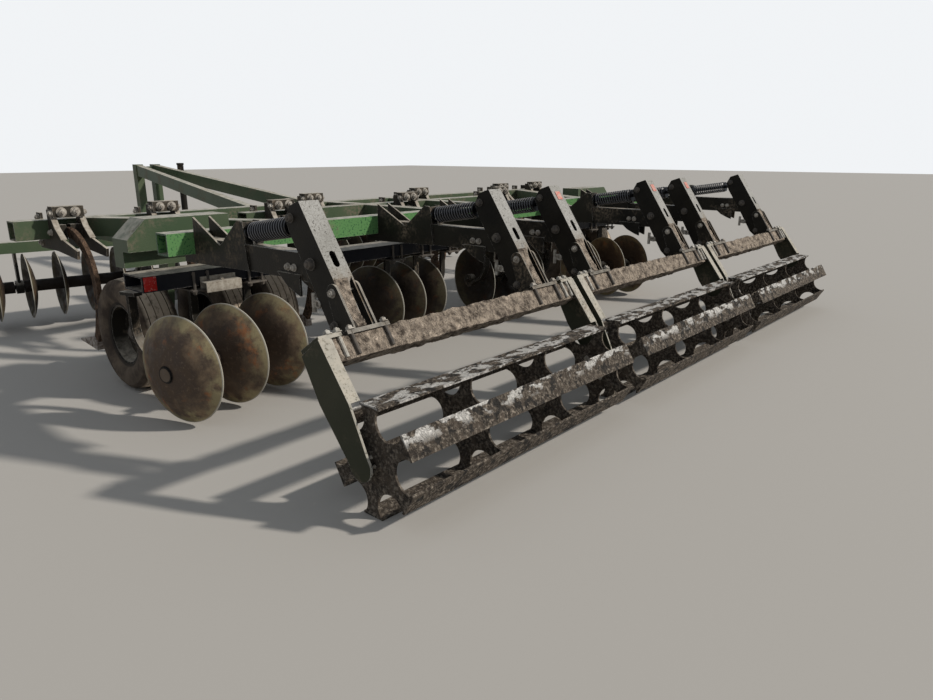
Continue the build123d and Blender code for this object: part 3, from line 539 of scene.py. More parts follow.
def reflector_finish(name, colour, dusty):
    finish, shader, place = new_finish(name, 0.25)
    film = patches(place, 0.02, dusty, dusty + 0.3, detail=8)
    use_colour(shader, mixed(film, colour, (0.42, 0.36, 0.30, 1)))
    use_roughness(shader, film, 0.22, 0.8)
    bumped(shader, patches(place, 0.004, 0.4, 0.6, detail=1), 0.0005, 0.4)
    return finish


bolt_steel = plain_steel("bolt_steel", (0.42, 0.39, 0.34, 1), (0.15, 0.125, 0.10, 1), 0.45)
dark_bolt = plain_steel("dark_bolt", (0.06, 0.055, 0.05, 1), (0.13, 0.11, 0.09, 1), 0.5)
point_steel = plain_steel("point_steel", (0.40, 0.36, 0.32, 1), (0.10, 0.065, 0.045, 1), 0.4)
spring_black = sprayed_wire("spring_black", (0.003, 0.003, 0.004, 1), 0.12)
# A pale grey for the coils' crowns: a painted highlight.
spring_highlight = sprayed_wire("spring_highlight", (0.13, 0.13, 0.14, 1), 0.6)
red_lens = reflector_finish("red_lens", (0.35, 0.015, 0.012, 1), 0.55)
faded_lens = reflector_finish("faded_lens", (0.55, 0.13, 0.10, 1), 0.40)
clamp_steel = plain_steel("clamp_steel", (0.48, 0.46, 0.41, 1), (0.24, 0.22, 0.185, 1), 0.5)
pale_plate = plain_steel("pale_plate", (0.36, 0.33, 0.28, 1), (0.20, 0.17, 0.135, 1), 0.8)
print("small finishes", bolt_steel.name, point_steel.name, red_lens.name)

# %% [markdown]
# ## Finishes for the plain nodes
# A node's own shape stays as it was imported, and only its material is changed. The table below
# says which pieces share a finish, so a reader can try another colour on one line.

# %% Give the nodes their finishes
finish_of = {
    green_enamel: ["front_beam", "middle_beam", "diagonals", "inner_rails", "drawbar_left",
                   "drawbar_right", "drawbar_lugs", "drawbar_head", "wheel_carriers",
                   "front_gang_beams", "gang_rails"],
    beam_enamel: ["rear_beam"],
    black_enamel: ["toolbar_posts", "arm_beams", "arm_brackets", "jack_tube", "front_hangers",
                   "wheels_left_outer", "wheels_left_inner", "wheels_right_inner",
                   "wheels_right_outer", "rear_standards", "yokes"],
    toolbar_enamel: ["toolbar"],
    dusty_black: ["holders"],
    hanger_enamel: ["roller_hangers"],
    arm_coat: ["arms"],
    caked: ["crossbars"],
    roller_steel: ["roller_left", "roller_middle", "roller_right"],
    point_steel: ["points", "drawbar_eye", "jack_leg"],
    shank_rust: ["shanks"],
    spring_black: ["arm_springs"],
    tyre_rubber: ["tyres_left_outer", "tyres_left_inner", "tyres_right_inner",
                  "tyres_right_outer"],
}
for finish, members in finish_of.items():
    for name in members:
        dress(name, finish)
bare = [name for name, piece in nodes.items() if len(piece.data.materials) == 0]
print("finished nodes, left bare:", bare)

# %% [markdown]
# ## From a mesh to a piece
# Each new piece is drawn in a bmesh, in place, and then handed over in the same way: its faces
# are turned outwards, edges sharper than a set angle stay sharp, and it rides on the body that
# carries it on the real machine, which for most fittings is the frame.

# %% Hand a mesh over
SMOOTH_UNDER = math.radians(35)


def new_piece(name, mesh, finish, body="frame"):
    bmesh.ops.recalc_face_normals(mesh, faces=mesh.faces)
    data = bpy.data.meshes.new(name)
    mesh.to_mesh(data)
    mesh.free()
    data.materials.append(finish)
    data.shade_smooth()
    data.set_sharp_from_angle(angle=SMOOTH_UNDER)
    piece = bpy.data.objects.new(name, data)
    bpy.context.scene.collection.objects.link(piece)
    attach(piece, body)
    print(name, len(data.polygons), "faces on", body)
    return piece


def stood(place, along, turn=0.0):
    """Puts a shape drawn upright on the origin at a place, upright along another direction."""
    stand = Vector(along).to_track_quat("Z", "Y").to_matrix().to_4x4()
    return Matrix.Translation(place) @ stand @ Matrix.Rotation(turn, 4, "Z")


def lifted(stand, height):
    return stand @ Matrix.Translation((0, 0, height))


def add_round(mesh, stand, low, high, radius, top_radius=None, sides=16):
    """A turned piece from low to high along the stand's own upright."""
    return bmesh.ops.create_cone(mesh, cap_ends=True, segments=sides, radius1=radius,
                                 radius2=radius if top_radius is None else top_radius,
                                 depth=high - low, matrix=lifted(stand, (low + high) / 2))["verts"]


def edges_of(verts):
    return list({edge for vert in verts for edge in vert.link_edges})


def ease(mesh, edges, width, steps=2):
    bmesh.ops.bevel(mesh, geom=edges, offset=width, segments=steps, profile=0.5,
                    affect="EDGES", material=-1)


def boxed(mesh, stand, size):
    """A box of this size about the stand's own origin."""
    return bmesh.ops.create_cube(mesh, size=1,
                                 matrix=stand @ Matrix.Diagonal((*size, 1)))["verts"]


def add_block(mesh, low, high, width=0.003):
    """A plate or block between two corners, with its edges eased."""
    middle = (Vector(low) + Vector(high)) / 2
    made = boxed(mesh, Matrix.Translation(middle), Vector(high) - Vector(low))
    ease(mesh, edges_of(made), width)


print("piece helpers ready")

# %% [markdown]
# ## Bolts
# A bolt here is a washer, a hexagon nut with eased corners and the stud's end above it. It could
# be one model copied as instances, but joined meshes export as one piece a body, which is
# simpler. Size is the stud's diameter, and the other sizes follow from it as on real bolts.

# %% A bolt
def add_bolt(mesh, place, along, size, turn=0.3):
    stand = stood(place, along, turn)
    add_round(mesh, stand, -0.0005, size * 0.18, size * 1.15, sides=20)
    nut = add_round(mesh, stand, size * 0.18, size * 0.95, size * 0.92, sides=6)
    top = [edge for edge in edges_of(nut)
           if all((stand.inverted() @ vert.co).z > size * 0.9 for vert in edge.verts)]
    ease(mesh, top, size * 0.12)
    add_round(mesh, stand, size * 0.9, size * 1.25, size * 0.5, size * 0.42, sides=12)


def add_bolt_ring(mesh, hub, x, side, radius, count, size):
    """Bolts in a ring about an axle that lies along X, on the face at x that looks to this side."""
    for i in range(count):
        angle = math.radians(360 * i / count)
        add_bolt(mesh, (x, hub.y + radius * math.cos(angle), hub.z + radius * math.sin(angle)),
                 (side, 0, 0), size)


test = bmesh.new()
add_bolt(test, (0, 0, 0), UP, 0.02)
print("one bolt has", len(test.faces), "faces")
test.free()

# %% [markdown]
# ## Bolts on the leaning arms
# Each arm carries the same set: the spring's cross bolt near its head, the big pivot bolt, the
# bright yoke pin, one more bolt low in the yoke, and four nuts that clamp the flange to the
# crossbar. A table gives each bolt in the arm's own directions, out and up from the crossbar's
# upper face, and a loop repeats it on both sides of all six arms.

# %% Arm bolts
ARM_HALF = 0.060
YOKE_FACE = 0.072
ARM_PLACE = 0.722
section_places = [hub_of["roller_" + side].x for side in ("left", "middle", "right")]
arm_places = [x + side * ARM_PLACE for x in section_places for side in (-1, 1)]
roller_y = roller_hub.y


def on_arm(x, out, up):
    return Vector((x, roller_y + SEAT_REACH, SEAT_HEIGHT)) + ARM_OUT * out + ARM_UP * up


# out, up, distance from the arm's middle, size
ARM_BOLTS = [(0.059, 0.684, ARM_HALF, 0.022), (0.058, 0.425, ARM_HALF, 0.028),
             (0.067, 0.093, YOKE_FACE, 0.022)]
PIN_BOLT = (-0.016, 0.230, YOKE_FACE, 0.020)
CLAMP_X = 0.105
CLAMP_OUT = 0.066
FLANGE_TOP = 0.020
CLAMP_SIZE = 0.020
BEAM_HALF = 0.045
BEAM_BOLTS = [(0.762, 1.040), (0.813, 1.040)]       # reach and height on the arm beams' sides
BEAM_BOLT_SIZE = 0.018


def add_flange_nuts(mesh, x):
    """The nuts on both legs of a U-bolt that goes round the crossbar here."""
    for out in (-CLAMP_OUT, CLAMP_OUT):
        add_bolt(mesh, on_arm(x, out, FLANGE_TOP), ARM_UP, CLAMP_SIZE)


mesh = bmesh.new()
pins = bmesh.new()
for x in arm_places:
    for side in (-1, 1):
        sideways = (side, 0, 0)
        for out, up, half, size in ARM_BOLTS:
            add_bolt(mesh, on_arm(x + side * half, out, up), sideways, size)
        out, up, half, size = PIN_BOLT
        add_bolt(pins, on_arm(x + side * half, out, up), sideways, size)
        add_flange_nuts(pins, x + side * CLAMP_X)
        for reach, height in BEAM_BOLTS:
            add_bolt(pins, (x + side * BEAM_HALF, roller_y + reach, height), sideways,
                     BEAM_BOLT_SIZE)
new_piece("arm_bolts", mesh, dark_bolt)
new_piece("arm_pins", pins, bolt_steel)

# %% [markdown]
# ## Square U-bolts
# A U-bolt is one round rod: down a leg, round a bend, across under the bar, round again and up.
# It starts as a circle whose edges are extruded along each straight and spun round each bend,
# the way a rod is bent over a former.

# %% Bending a rod
def straight(mesh, ring, step):
    """Extrudes a ring of edges by a step and gives the new ring."""
    made = bmesh.ops.extrude_edge_only(mesh, edges=ring)["geom"]
    fresh = {item for item in made if isinstance(item, bmesh.types.BMVert)}
    bmesh.ops.translate(mesh, verts=list(fresh), vec=step)
    return [item for item in made if isinstance(item, bmesh.types.BMEdge)
            and all(vert in fresh for vert in item.verts)]


def bent(mesh, ring, centre, axis, angle, steps=5):
    """Spins a ring of edges round a former and gives the last ring."""
    made = bmesh.ops.spin(mesh, geom=ring, cent=centre, axis=axis, angle=angle, steps=steps,
                          use_duplicate=False)["geom_last"]
    return [item for item in made if isinstance(item, bmesh.types.BMEdge)]


def add_u_bolt(mesh, top, down, across, radius, depth, bend, sides=8):
    """Its legs start at top and at top + across, and reach depth along down."""
    down, across = Vector(down).normalized(), Vector(across)
    span = across.length
    across = across.normalized()
    axis = down.cross(across)
    start = bmesh.ops.create_circle(mesh, cap_ends=True, segments=sides, radius=radius,
                                    matrix=stood(top, -down))["verts"]
    ring = edges_of(start)
    ring = straight(mesh, ring, down * (depth - bend))
    corner = Vector(top) + down * (depth - bend)
    ring = bent(mesh, ring, corner + across * bend, axis, math.radians(-90))
    ring = straight(mesh, ring, across * (span - 2 * bend))
    ring = bent(mesh, ring, corner + across * (span - bend), axis, math.radians(-90))
    ring = straight(mesh, ring, -down * (depth - bend))
    bmesh.ops.edgeloop_fill(mesh, edges=ring)


CLAMP_RADIUS = 0.010
CLAMP_BEND = 0.020
CLAMP_BELOW = 0.012              # from the crossbar down to the middle of the rod
STUD_OVER = 0.022                # how far the legs stand above the flange
CROSSBAR_SIZE = 0.110
CLAMP_DEPTH = CROSSBAR_SIZE + CLAMP_BELOW + FLANGE_TOP + STUD_OVER


def add_crossbar_clamp(mesh, x):
    add_u_bolt(mesh, on_arm(x, -CLAMP_OUT, FLANGE_TOP + STUD_OVER), -ARM_UP,
               ARM_OUT * (2 * CLAMP_OUT), CLAMP_RADIUS, CLAMP_DEPTH, CLAMP_BEND)


mesh = bmesh.new()
for x in arm_places:
    for side in (-1, 1):
        add_crossbar_clamp(mesh, x + side * CLAMP_X)
new_piece("crossbar_u_bolts", mesh, dark_bolt)

# %% [markdown]
# ## Hanger clamps
# Two paler U-bolts side by side hold each roller hanger's foot to the end of its crossbar.

# %% Hanger clamps
HANGER_CLAMPS = (0.955, 0.900)   # from the section's middle
mesh = bmesh.new()
for x in section_places:
    for side in (-1, 1):
        for place in HANGER_CLAMPS:
            add_crossbar_clamp(mesh, x + side * place)
            add_flange_nuts(mesh, x + side * place)
new_piece("hanger_clamps", mesh, clamp_steel)

# %% [markdown]
# ## Toolbar clamps
# The curved standards hang under the toolbar from two U-bolts that go over it, with a clamp
# plate and nuts below. Only the one at the bar's very end is welded on and has no clamp. Where a
# standard crosses the toolbar follows from its gang: from the disc's place on the shaft, square
# to the shaft, as far forward or back as the bar is.

# %% Toolbar clamps
TOOLBAR_REACH = 2.142
TOOLBAR_TOP = 0.875
TOOLBAR_HEIGHT = 0.100
TOOLBAR_HALF = 0.125             # half its depth
TOOLBAR_END = 3.105
STANDARD_PLACE = 0.165
STANDARD_THICK = 0.022
LEG_OUT = TOOLBAR_HALF + 0.011   # from the toolbar's middle to the middle of a leg
LEG_PLACE = 0.048                # from the standard's middle
LEG_BELOW = 0.030                # below the standard
ROD_ABOVE = 0.010                # from the toolbar up to the middle of the rod
PLATE_HALF = 0.075
PLATE_OUT = TOOLBAR_HALF + 0.032
PLATE_THICK = 0.012
U_BOLT_SIZE = 0.018
# gang: discs and spacing
GANG_DISCS = {"rear_outer_left": (3, 0.383), "rear_inner_left": (3, 0.335),
              "rear_inner_right": (3, 0.335), "rear_outer_right": (3, 0.360)}
mesh = bmesh.new()
toolbar_y = roller_y + TOOLBAR_REACH
bottom = TOOLBAR_TOP - TOOLBAR_HEIGHT - STANDARD_THICK
for gang, (count, spacing) in GANG_DISCS.items():
    hub = hub_of[gang + "_gang"]
    along = Vector(hinges[gang + "_gang"]["axis"])
    if gang.endswith("right"):
        along = -along
    square = Vector((-along.y, along.x, 0))
    for i in range(count):
        place = hub + along * (i * spacing + STANDARD_PLACE)
        x = (place + square * ((toolbar_y - place.y) / square.y)).x
        if abs(x) > TOOLBAR_END - PLATE_HALF:
            continue
        for side in (-1, 1):
            leg = x + side * LEG_PLACE
            for end in (-1, 1):
                add_bolt(mesh, (leg, toolbar_y + end * LEG_OUT, bottom - PLATE_THICK),
                         (0, 0, -1), U_BOLT_SIZE)
            add_u_bolt(mesh, (leg, toolbar_y - LEG_OUT, bottom - LEG_BELOW), UP,
                       (0, 2 * LEG_OUT, 0), U_BOLT_SIZE / 2,
                       TOOLBAR_TOP + ROD_ABOVE - bottom + LEG_BELOW, U_BOLT_SIZE)
        add_block(mesh, (x - PLATE_HALF, toolbar_y - PLATE_OUT, bottom - PLATE_THICK),
                  (x + PLATE_HALF, toolbar_y + PLATE_OUT, bottom))
new_piece("toolbar_clamps", mesh, dark_bolt)

# %% [markdown]
# ## Coil springs
# The imported springs are solid, with a groove for every coil. The real ones are open coils of
# round wire on a rod. One small circle is spun round the spring's axis and moved along it with
# every step, which is what spin's dvec is for. Both ends are closed afterwards. The crown of the
# wire, its outermost strip, gets a second, paler finish: a painted highlight on every coil.

# %% Springs
SPRING_TAIL = (0.815, 1.239)     # reach and height
SPRING_NOSE = (1.186, 1.182)
COIL_RADIUS = 0.049
WIRE_RADIUS = 0.0064
HIGHLIGHT_FROM = 0.8                 # the share of the wire's radius beyond which the painted highlight lies
COIL_TURNS = 15
COIL_STEPS = 22
CAP = 0.012                      # the thickness of the end discs
ROD_RADIUS = 0.016
ROD_BACK = 0.030                 # how far the rod stands out behind its spring
TAIL_CAP, NOSE_CAP = 0.050, 0.056
mesh = bmesh.new()
rods = bmesh.new()
for x in arm_places:
    tail = Vector((x, roller_y + SPRING_TAIL[0], SPRING_TAIL[1]))
    nose = Vector((x, roller_y + SPRING_NOSE[0], SPRING_NOSE[1]))
    line = (nose - tail).normalized()
    upright = line.cross(Vector((1, 0, 0))).normalized()
    first = tail + line * (CAP + WIRE_RADIUS) + upright * COIL_RADIUS
    ring = bmesh.ops.create_circle(mesh, cap_ends=False, segments=8, radius=WIRE_RADIUS,
                                   matrix=stood(first, (1, 0, 0)))["verts"]
    length = (nose - tail).length
    steps = COIL_TURNS * COIL_STEPS
    rise = (length - 2 * (CAP + WIRE_RADIUS)) / steps
    bmesh.ops.spin(mesh, geom=edges_of(ring), cent=tail, axis=line, dvec=line * rise,
                   angle=math.radians(360 * COIL_TURNS), steps=steps, use_duplicate=False)
    stand = stood(tail, line)
    add_round(rods, stand, -ROD_BACK, length, ROD_RADIUS)
    add_round(rods, stand, 0, CAP, TAIL_CAP, sides=28)
    add_round(rods, stand, length - CAP, length, NOSE_CAP, sides=28)
ends = [edge for edge in mesh.edges if edge.is_boundary]
bmesh.ops.holes_fill(mesh, edges=ends, sides=0)
slope = (SPRING_NOSE[1] - SPRING_TAIL[1]) / (SPRING_NOSE[0] - SPRING_TAIL[0])
for face in mesh.faces:
    middle = face.calc_center_median()
    x = min(arm_places, key=lambda place: abs(place - middle.x))
    axis_height = SPRING_TAIL[1] + slope * (middle.y - roller_y - SPRING_TAIL[0])
    outwards = Vector((middle.x - x, 0, middle.z - axis_height))
    # The wire's outer crown takes the second finish, a painted highlight.
    if outwards.length > COIL_RADIUS + WIRE_RADIUS * HIGHLIGHT_FROM:
        face.material_index = 1
coils = new_piece("spring_coils", mesh, spring_black, "frame")
coils.data.materials.append(spring_highlight)
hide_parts("arm_springs")
new_piece("spring_rods", rods, spring_black, "frame")

# %% [markdown]
# ## Ribbed tyres
# Implement tyres have plain ribs with grooves between them, round the whole tyre. Half of the
# section is a short table from the crown to the bead, its mirror is the other half, and a full
# spin about the axle makes the tyre. The section is a closed loop, so the tyre has an inside.

# %% Tyres
TYRE_RADIUS = 0.390
# distance from the tyre's middle, distance below its crown
TYRE_HALF = [(0.021, 0.0004), (0.0225, 0.011), (0.0275, 0.011), (0.029, 0.0008), (0.071, 0.005),
             (0.0725, 0.015), (0.0775, 0.016), (0.079, 0.006), (0.108, 0.011), (0.119, 0.018),
             (0.127, 0.032), (0.1325, 0.036), (0.137, 0.062), (0.1395, 0.090), (0.137, 0.115),
             (0.130, 0.138), (0.121, 0.156), (0.114, 0.166), (0.110, 0.181), (0.100, 0.183)]
TYRE_STEPS = 72
# the middles of the tyres that each body carries
WHEELS = {"left_outer": (-2.895,), "left_inner": (-2.302, -1.938),
          "right_inner": (2.302, 1.938), "right_outer": (2.895,)}
for name, places in WHEELS.items():
    hub = hub_of["wheels_" + name]
    mesh = bmesh.new()
    for x in places:
        section = [(-out, drop) for out, drop in reversed(TYRE_HALF)] + TYRE_HALF
        corners = [mesh.verts.new((x + out, hub.y, hub.z + TYRE_RADIUS - drop))
                   for out, drop in section]
        edges = [mesh.edges.new((corners[i - 1], corners[i])) for i in range(len(corners))]
        bmesh.ops.spin(mesh, geom=corners + edges, cent=hub, axis=(1, 0, 0),
                       angle=math.radians(360), steps=TYRE_STEPS, use_merge=True)
    bmesh.ops.remove_doubles(mesh, verts=mesh.verts, dist=0.0001)
    tread = new_piece("tread_" + name, mesh, tyre_rubber, "wheels_" + name)
    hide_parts("tyres_" + name)

# %% [markdown]
# ## Wheel nuts and hub caps
# Eight nuts hold each wheel disc to its hub, and a pressed cap keeps soil out of the bearing.
# They sit on the side of the wheel that looks away from the machine's middle.

# %% Wheel nuts
NUT_CIRCLE = 0.102
DISC_FACE = 0.012
HUB_FACE = 0.040
NUTS, NUT_SIZE = 8, 0.016
CAP_RADIUS, CAP_EDGE, CAP_TOP = 0.045, 0.042, 0.024
CAP_STEP, CAP_HEIGHT = 0.020, 0.030
for name, places in WHEELS.items():
    hub = hub_of["wheels_" + name]
    mesh = bmesh.new()
    for x in places:
        for side, face in ((-1, DISC_FACE), (1, 0.0)):
            add_bolt_ring(mesh, hub, x + side * face, side, NUT_CIRCLE, NUTS, NUT_SIZE)
    outer = min(places) if name.startswith("left") else max(places)
    out = -1 if name.startswith("left") else 1
    stand = stood((outer + out * HUB_FACE, hub.y, hub.z), (out, 0, 0))
    add_round(mesh, stand, 0, CAP_STEP, CAP_RADIUS, CAP_EDGE, sides=28)
    add_round(mesh, stand, CAP_STEP, CAP_HEIGHT, CAP_EDGE, CAP_TOP, sides=28)
    new_piece("wheel_nuts_" + name, mesh, dark_bolt, "wheels_" + name)

# %% [markdown]
# ## Roller bearings
# Each roller turns in a square flanged bearing at either end, held by four nuts inside the end
# plate, and a ring outside it with six small bolts. They turn with the roller.

# %% Roller bolts
END_PLATE = 0.960                # its outer face, from the roller's middle
END_THICK, BEARING_THICK, RING_THICK = 0.012, 0.025, 0.018
BEARING_FACE = END_PLATE - END_THICK - BEARING_THICK
BEARING_BOLT = 0.052             # across and up from the shaft
BEARING_BOLT_SIZE = 0.016
RING_FACE = END_PLATE + RING_THICK
RING_BOLTS, RING_BOLT_SIZE = 6, 0.009
RING_CIRCLE = 0.045
for side_name in ("left", "middle", "right"):
    body = "roller_" + side_name
    hub = hub_of[body]
    mesh = bmesh.new()
    for side in (-1, 1):
        for dy in (-BEARING_BOLT, BEARING_BOLT):
            for dz in (-BEARING_BOLT, BEARING_BOLT):
                add_bolt(mesh, (hub.x + side * BEARING_FACE, hub.y + dy, hub.z + dz),
                         (-side, 0, 0), BEARING_BOLT_SIZE)
        add_bolt_ring(mesh, hub, hub.x + side * RING_FACE, side, RING_CIRCLE, RING_BOLTS,
                      RING_BOLT_SIZE)
    new_piece("bearing_bolts_" + side_name, mesh, bolt_steel, body)

# %% [markdown]
# ## Shank holders
# On each holder's head block two large washers and nuts show pale against the dark cheeks. Bolts
# through the cheeks hold the shank between its spacers and the strap ahead of the beam. A wide
# pale edge, bent from strip, runs down the back of each cheek.

# %% Holder bolts and edges
SHANK_PITCH = 0.739
HOLDER_HALF = 0.108
BLOCK_BACK = 0.125               # the block's rear face, behind the beam's
# the edge strip's line: behind the beam's rear face, and height
EDGE_BEND = [(-0.052, 1.203), (-0.064, 1.196), (-0.144, 1.072), (-0.245, 0.991)]
EDGE_PLACE = 0.099               # from the holder's middle
EDGE_WIDTH = 0.040
EDGE_THICK = 0.007
BLOCK_BOLT = 0.048               # from the holder's middle
BLOCK_HEIGHT = 1.180
BLOCK_BOLT_SIZE, CHEEK_BOLT_SIZE = 0.026, 0.022
WASHER_RADIUS, WASHER_THICK = 0.036, 0.004
# how far ahead of the beam's rear face, and how high
CHEEK_BOLTS = [(-0.045, 1.030), (-0.100, 1.172), (0.180, 1.130), (0.180, 0.940)]
# reach of the beam's rear face, shank numbers from the middle
SHANK_ROWS = [(3.570, (-4, -3, -1, 1, 3, 4)), (3.000, (-2, 0, 2))]
mesh = bmesh.new()
strips = bmesh.new()
for face, numbers in SHANK_ROWS:
    for number in numbers:
        x = number * SHANK_PITCH
        for side in (-1, 1):
            back = (x + side * BLOCK_BOLT, roller_y + face - BLOCK_BACK, BLOCK_HEIGHT)
            add_round(mesh, stood(back, BACK), -0.001, WASHER_THICK, WASHER_RADIUS, sides=24)
            add_bolt(mesh, (back[0], back[1] - WASHER_THICK, back[2]), BACK,
                     BLOCK_BOLT_SIZE)
            for ahead, height in CHEEK_BOLTS:
                add_bolt(mesh, (x + side * HOLDER_HALF, roller_y + face + ahead, height),
                         (side, 0, 0), CHEEK_BOLT_SIZE)
            for first, second in zip(EDGE_BEND, EDGE_BEND[1:]):
                low, high = (Vector((x + side * EDGE_PLACE, roller_y + face + out, up))
                             for out, up in (first, second))
                run = high - low
                stand = Matrix.Translation((low + high) / 2) @ Matrix.Rotation(
                    math.atan2(run.z, run.y), 4, "X")
                boxed(strips, stand, (EDGE_WIDTH, run.length + EDGE_THICK / 2, EDGE_THICK))
new_piece("holder_bolts", mesh, bolt_steel)
new_piece("holder_edges", strips, pale_plate, "frame")

# %% [markdown]
# ## Small fittings on the arm beams
# A T-handled pin stands on each arm beam, and ahead of each yoke a short upright tube and a ring
# are held by a lug. They are small, but bright against the dark arms.

# %% Pins and tubes
# across from the arm's middle, reach and height
PIN_FOOT = Vector((-0.020, 1.150, 1.120))
HANDLE_END = Vector((-0.048, 1.150, 1.165))
TUBE_FOOT = Vector((-0.051, 0.605, 0.835))
LUG_LOW, LUG_HIGH = Vector((-0.057, 0.530, 0.862)), Vector((-0.045, 0.610, 0.902))
RING_MIDDLE = Vector((-0.062, 0.560, 0.882))
PIN_RADIUS, PIN_HEIGHT, HANDLE_LONG = 0.006, 0.045, 0.056
TUBE_RADIUS, TUBE_HEIGHT = 0.012, 0.097
RING_RADIUS, RING_WIRE = 0.017, 0.005
mesh = bmesh.new()
for x in arm_places:
    arm = Vector((x, roller_y, 0))
    add_round(mesh, stood(arm + PIN_FOOT, UP), -0.001, PIN_HEIGHT, PIN_RADIUS)
    add_round(mesh, stood(arm + HANDLE_END, (1, 0, 0)), 0, HANDLE_LONG, PIN_RADIUS)
    add_round(mesh, stood(arm + TUBE_FOOT, UP), 0, TUBE_HEIGHT, TUBE_RADIUS)
    add_block(mesh, arm + LUG_LOW, arm + LUG_HIGH)
    middle = arm + RING_MIDDLE
    ring = bmesh.ops.create_circle(mesh, cap_ends=False, segments=10, radius=RING_WIRE,
                                   matrix=stood(middle + Vector((0, 0, RING_RADIUS)),
                                                (0, 1, 0)))["verts"]
    bmesh.ops.spin(mesh, geom=ring + edges_of(ring), cent=middle, axis=(1, 0, 0),
                   angle=math.radians(360), steps=24, use_merge=True)
bmesh.ops.remove_doubles(mesh, verts=mesh.verts, dist=0.00005)
new_piece("beam_fittings", mesh, bolt_steel)

# %% [markdown]
# ## Reflectors and a bracket
# Red reflectors are screwed to the toolbar's ends and a bleached one to the front beam, and
# three arms carry small faded ones. A pale folded bracket hangs on the toolbar's rear face.

# %% Reflectors
# distance from the machine's middle, reach, height of the middle, width, height
FLAT_LENSES = {"red_reflectors": (red_lens, 3.057, 2.017, 0.827, 0.078, 0.088),
               "beam_reflectors": (faded_lens, 2.277, 3.570, 1.010, 0.065, 0.090)}
LENS_THICK = 0.008
LENS_SUNK = 0.0005               # into what carries it
for name, (finish, place, reach, height, width, tall) in FLAT_LENSES.items():
    mesh = bmesh.new()
    for x in (-place, place):
        y = roller_y + reach
        add_block(mesh, (x - width / 2, y - LENS_THICK, height - tall / 2),
                  (x + width / 2, y + LENS_SUNK, height + tall / 2), 0.002)
    new_piece(name, mesh, finish)

ARM_BACK = -0.049
ARM_LENS_WIDE, ARM_LENS_THICK = 0.056, 0.005
low, high = 0.600, 0.665         # up the arm
mesh = bmesh.new()
for x in arm_places[2:5]:
    middle = on_arm(x, ARM_BACK - ARM_LENS_THICK / 2 + LENS_SUNK, (low + high) / 2)
    stand = Matrix.Translation(middle) @ Matrix.Rotation(-LEAN, 4, "X")
    made = boxed(mesh, stand, (ARM_LENS_WIDE, ARM_LENS_THICK, high - low))
    ease(mesh, edges_of(made), 0.0015, steps=1)
new_piece("arm_reflectors", mesh, faded_lens)

BRACKET_X = (-2.735, -2.485)
# reach from and to, height from and to
BRACKET_SHEETS = [((1.935, 2.0175), (0.792, 0.800)), ((1.935, 1.943), (0.735, 0.796)),
                  ((2.009, 2.0175), (0.735, 0.830))]
BRACKET_BOLT = Vector((-2.600, 1.985, 0.800))
BRACKET_BOLT_SIZE = 0.014
mesh = bmesh.new()
for (back, ahead), (low, high) in BRACKET_SHEETS:
    add_block(mesh, (BRACKET_X[0], roller_y + back, low), (BRACKET_X[1], roller_y + ahead, high),
              0.002)
add_bolt(mesh, BRACKET_BOLT + Vector((0, roller_y, 0)), UP, BRACKET_BOLT_SIZE)
new_piece("toolbar_bracket", mesh, pale_plate, "frame")

# %% [markdown]
# ## Soil on the crossbars
# Thick dried soil rounds the crossbars' edges and hangs below them. A sleeve slightly larger
# than the bar is cut into a fine grid, and each point is pushed out by two sizes of noise. It is
# thin where the flanges sit, because the clamps keep shedding it there.

# %% Crossbar soil
CROSSBAR_HALF = 0.990
SOIL_SKIN = 0.0015
SOIL_THICK = 0.016
SOIL_CUTS = (160, 9)             # along the bar and across each face
FLANGE_HALF = 0.150
FLANGE_FADE = 0.05               # over which the soil grows thick again
LUMPS_PER_METRE, GRAINS_PER_METRE = 14, 70
mesh = bmesh.new()
for x in section_places:
    middle = on_arm(x, 0, -CROSSBAR_SIZE / 2)
    stand = Matrix.Translation(middle) @ Matrix.Rotation(-LEAN, 4, "X")
    size = (2 * CROSSBAR_HALF, CROSSBAR_SIZE + 2 * SOIL_SKIN, CROSSBAR_SIZE + 2 * SOIL_SKIN)
    made = boxed(mesh, stand, size)
    long_edges = [edge for edge in edges_of(made) if edge.calc_length() > 1]
    bmesh.ops.subdivide_edges(mesh, edges=long_edges, cuts=SOIL_CUTS[0], use_grid_fill=True)
short_edges = [edge for edge in mesh.edges if edge.calc_length() > 0.1]
bmesh.ops.subdivide_edges(mesh, edges=short_edges, cuts=SOIL_CUTS[1], use_grid_fill=True)
mesh.normal_update()
push = {}
for vert in mesh.verts:
    lump = noise.fractal(vert.co * LUMPS_PER_METRE, 0.8, 2.1, 5) * 0.6 + 0.40
    grain = noise.noise(vert.co * GRAINS_PER_METRE) * 0.25
    nearest = min(abs(vert.co.x - x) for x in arm_places)
    thin = min(1, max(0.12, (nearest - FLANGE_HALF) / FLANGE_FADE))
    push[vert] = vert.normal * (SOIL_THICK * thin * max(0, min(1, lump + grain)))
for vert, step in push.items():
    vert.co += step
new_piece("crossbar_soil", mesh, caked, "frame")

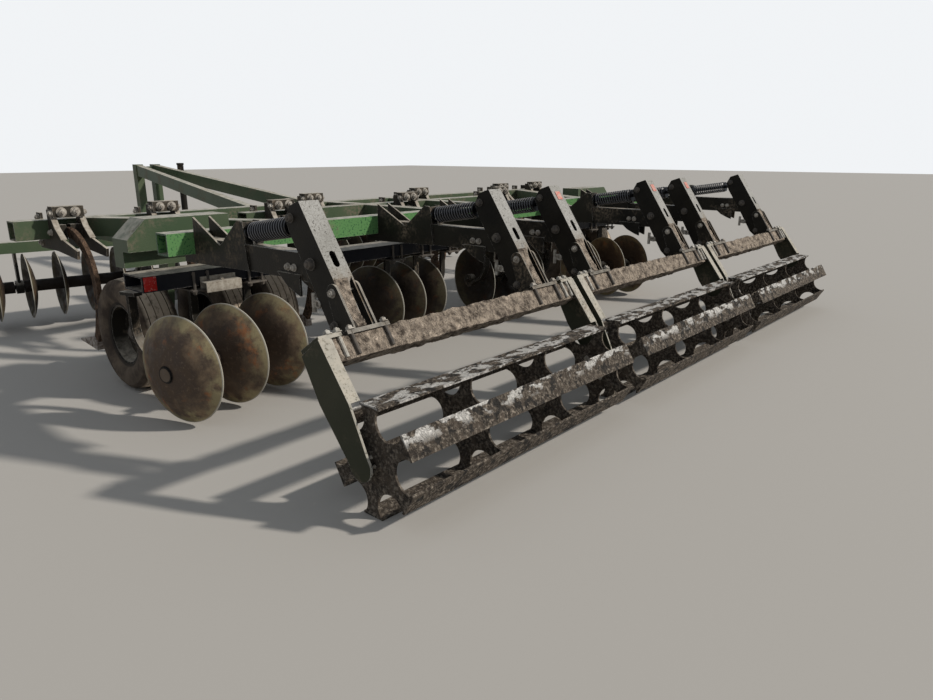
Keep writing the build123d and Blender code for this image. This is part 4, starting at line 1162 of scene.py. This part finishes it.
# %% [markdown]
# ## Soil on the arms' feet
# Between each yoke's plates soil has dried over the lower end of the arm's back plate and over
# the flange. It is a slab with a fine grid on its face, thickest in the corner where they meet.

# %% Soil on the arms' feet
FOOT_WIDE = (-0.0605, 0.006)     # across the arm, from its middle
FOOT_UP = (0.021, 0.285)
FOOT_BACK = -0.0495
FOOT_ROWS, FOOT_COLUMNS = 40, 12
FOOT_SPREAD, SPREAD_FROM = 0.020, 0.20      # how much wider the top is, and from where
CORNER_FADE = 0.09               # how far up from the flange the thickest soil reaches
RIM_THICK, SKIN_THICK, LUMP_THICK, CORNER_THICK = 0.001, 0.003, 0.007, 0.022
FOOT_SKIRT = 0.0055              # how far the slab's rim reaches in towards the plate
mesh = bmesh.new()
for x in arm_places:
    rows = []
    for row in range(FOOT_ROWS + 1):
        up = FOOT_UP[0] + (FOOT_UP[1] - FOOT_UP[0]) * row / FOOT_ROWS
        corner = max(0.0, 1 - (up - FOOT_UP[0]) / CORNER_FADE)
        spread = max(0.0, (up - SPREAD_FROM) / (FOOT_UP[1] - SPREAD_FROM))
        wide = FOOT_WIDE[1] + FOOT_SPREAD * spread
        line = []
        for column in range(FOOT_COLUMNS + 1):
            across = FOOT_WIDE[0] + (wide - FOOT_WIDE[0]) * column / FOOT_COLUMNS
            spot = on_arm(x + across, FOOT_BACK, up)
            rough = noise.fractal(spot * 30, 0.8, 2.1, 4) * 0.5 + 0.5
            border = min(row, FOOT_ROWS - row, column, FOOT_COLUMNS - column)
            thick = SKIN_THICK + (LUMP_THICK + CORNER_THICK * corner) * rough
            line.append(mesh.verts.new(spot - ARM_OUT * (thick if border else RIM_THICK)))
        rows.append(line)
    for low, high in zip(rows, rows[1:]):
        for i in range(FOOT_COLUMNS):
            mesh.faces.new((low[i], low[i + 1], high[i + 1], high[i]))
    border = [edge for edge in mesh.edges if edge.is_boundary
              and edge.verts[0] in set(sum(rows, []))]
    bmesh.ops.edgeloop_fill(mesh, edges=straight(mesh, border, ARM_OUT * FOOT_SKIRT))
new_piece("arm_soil", mesh, caked, "frame")
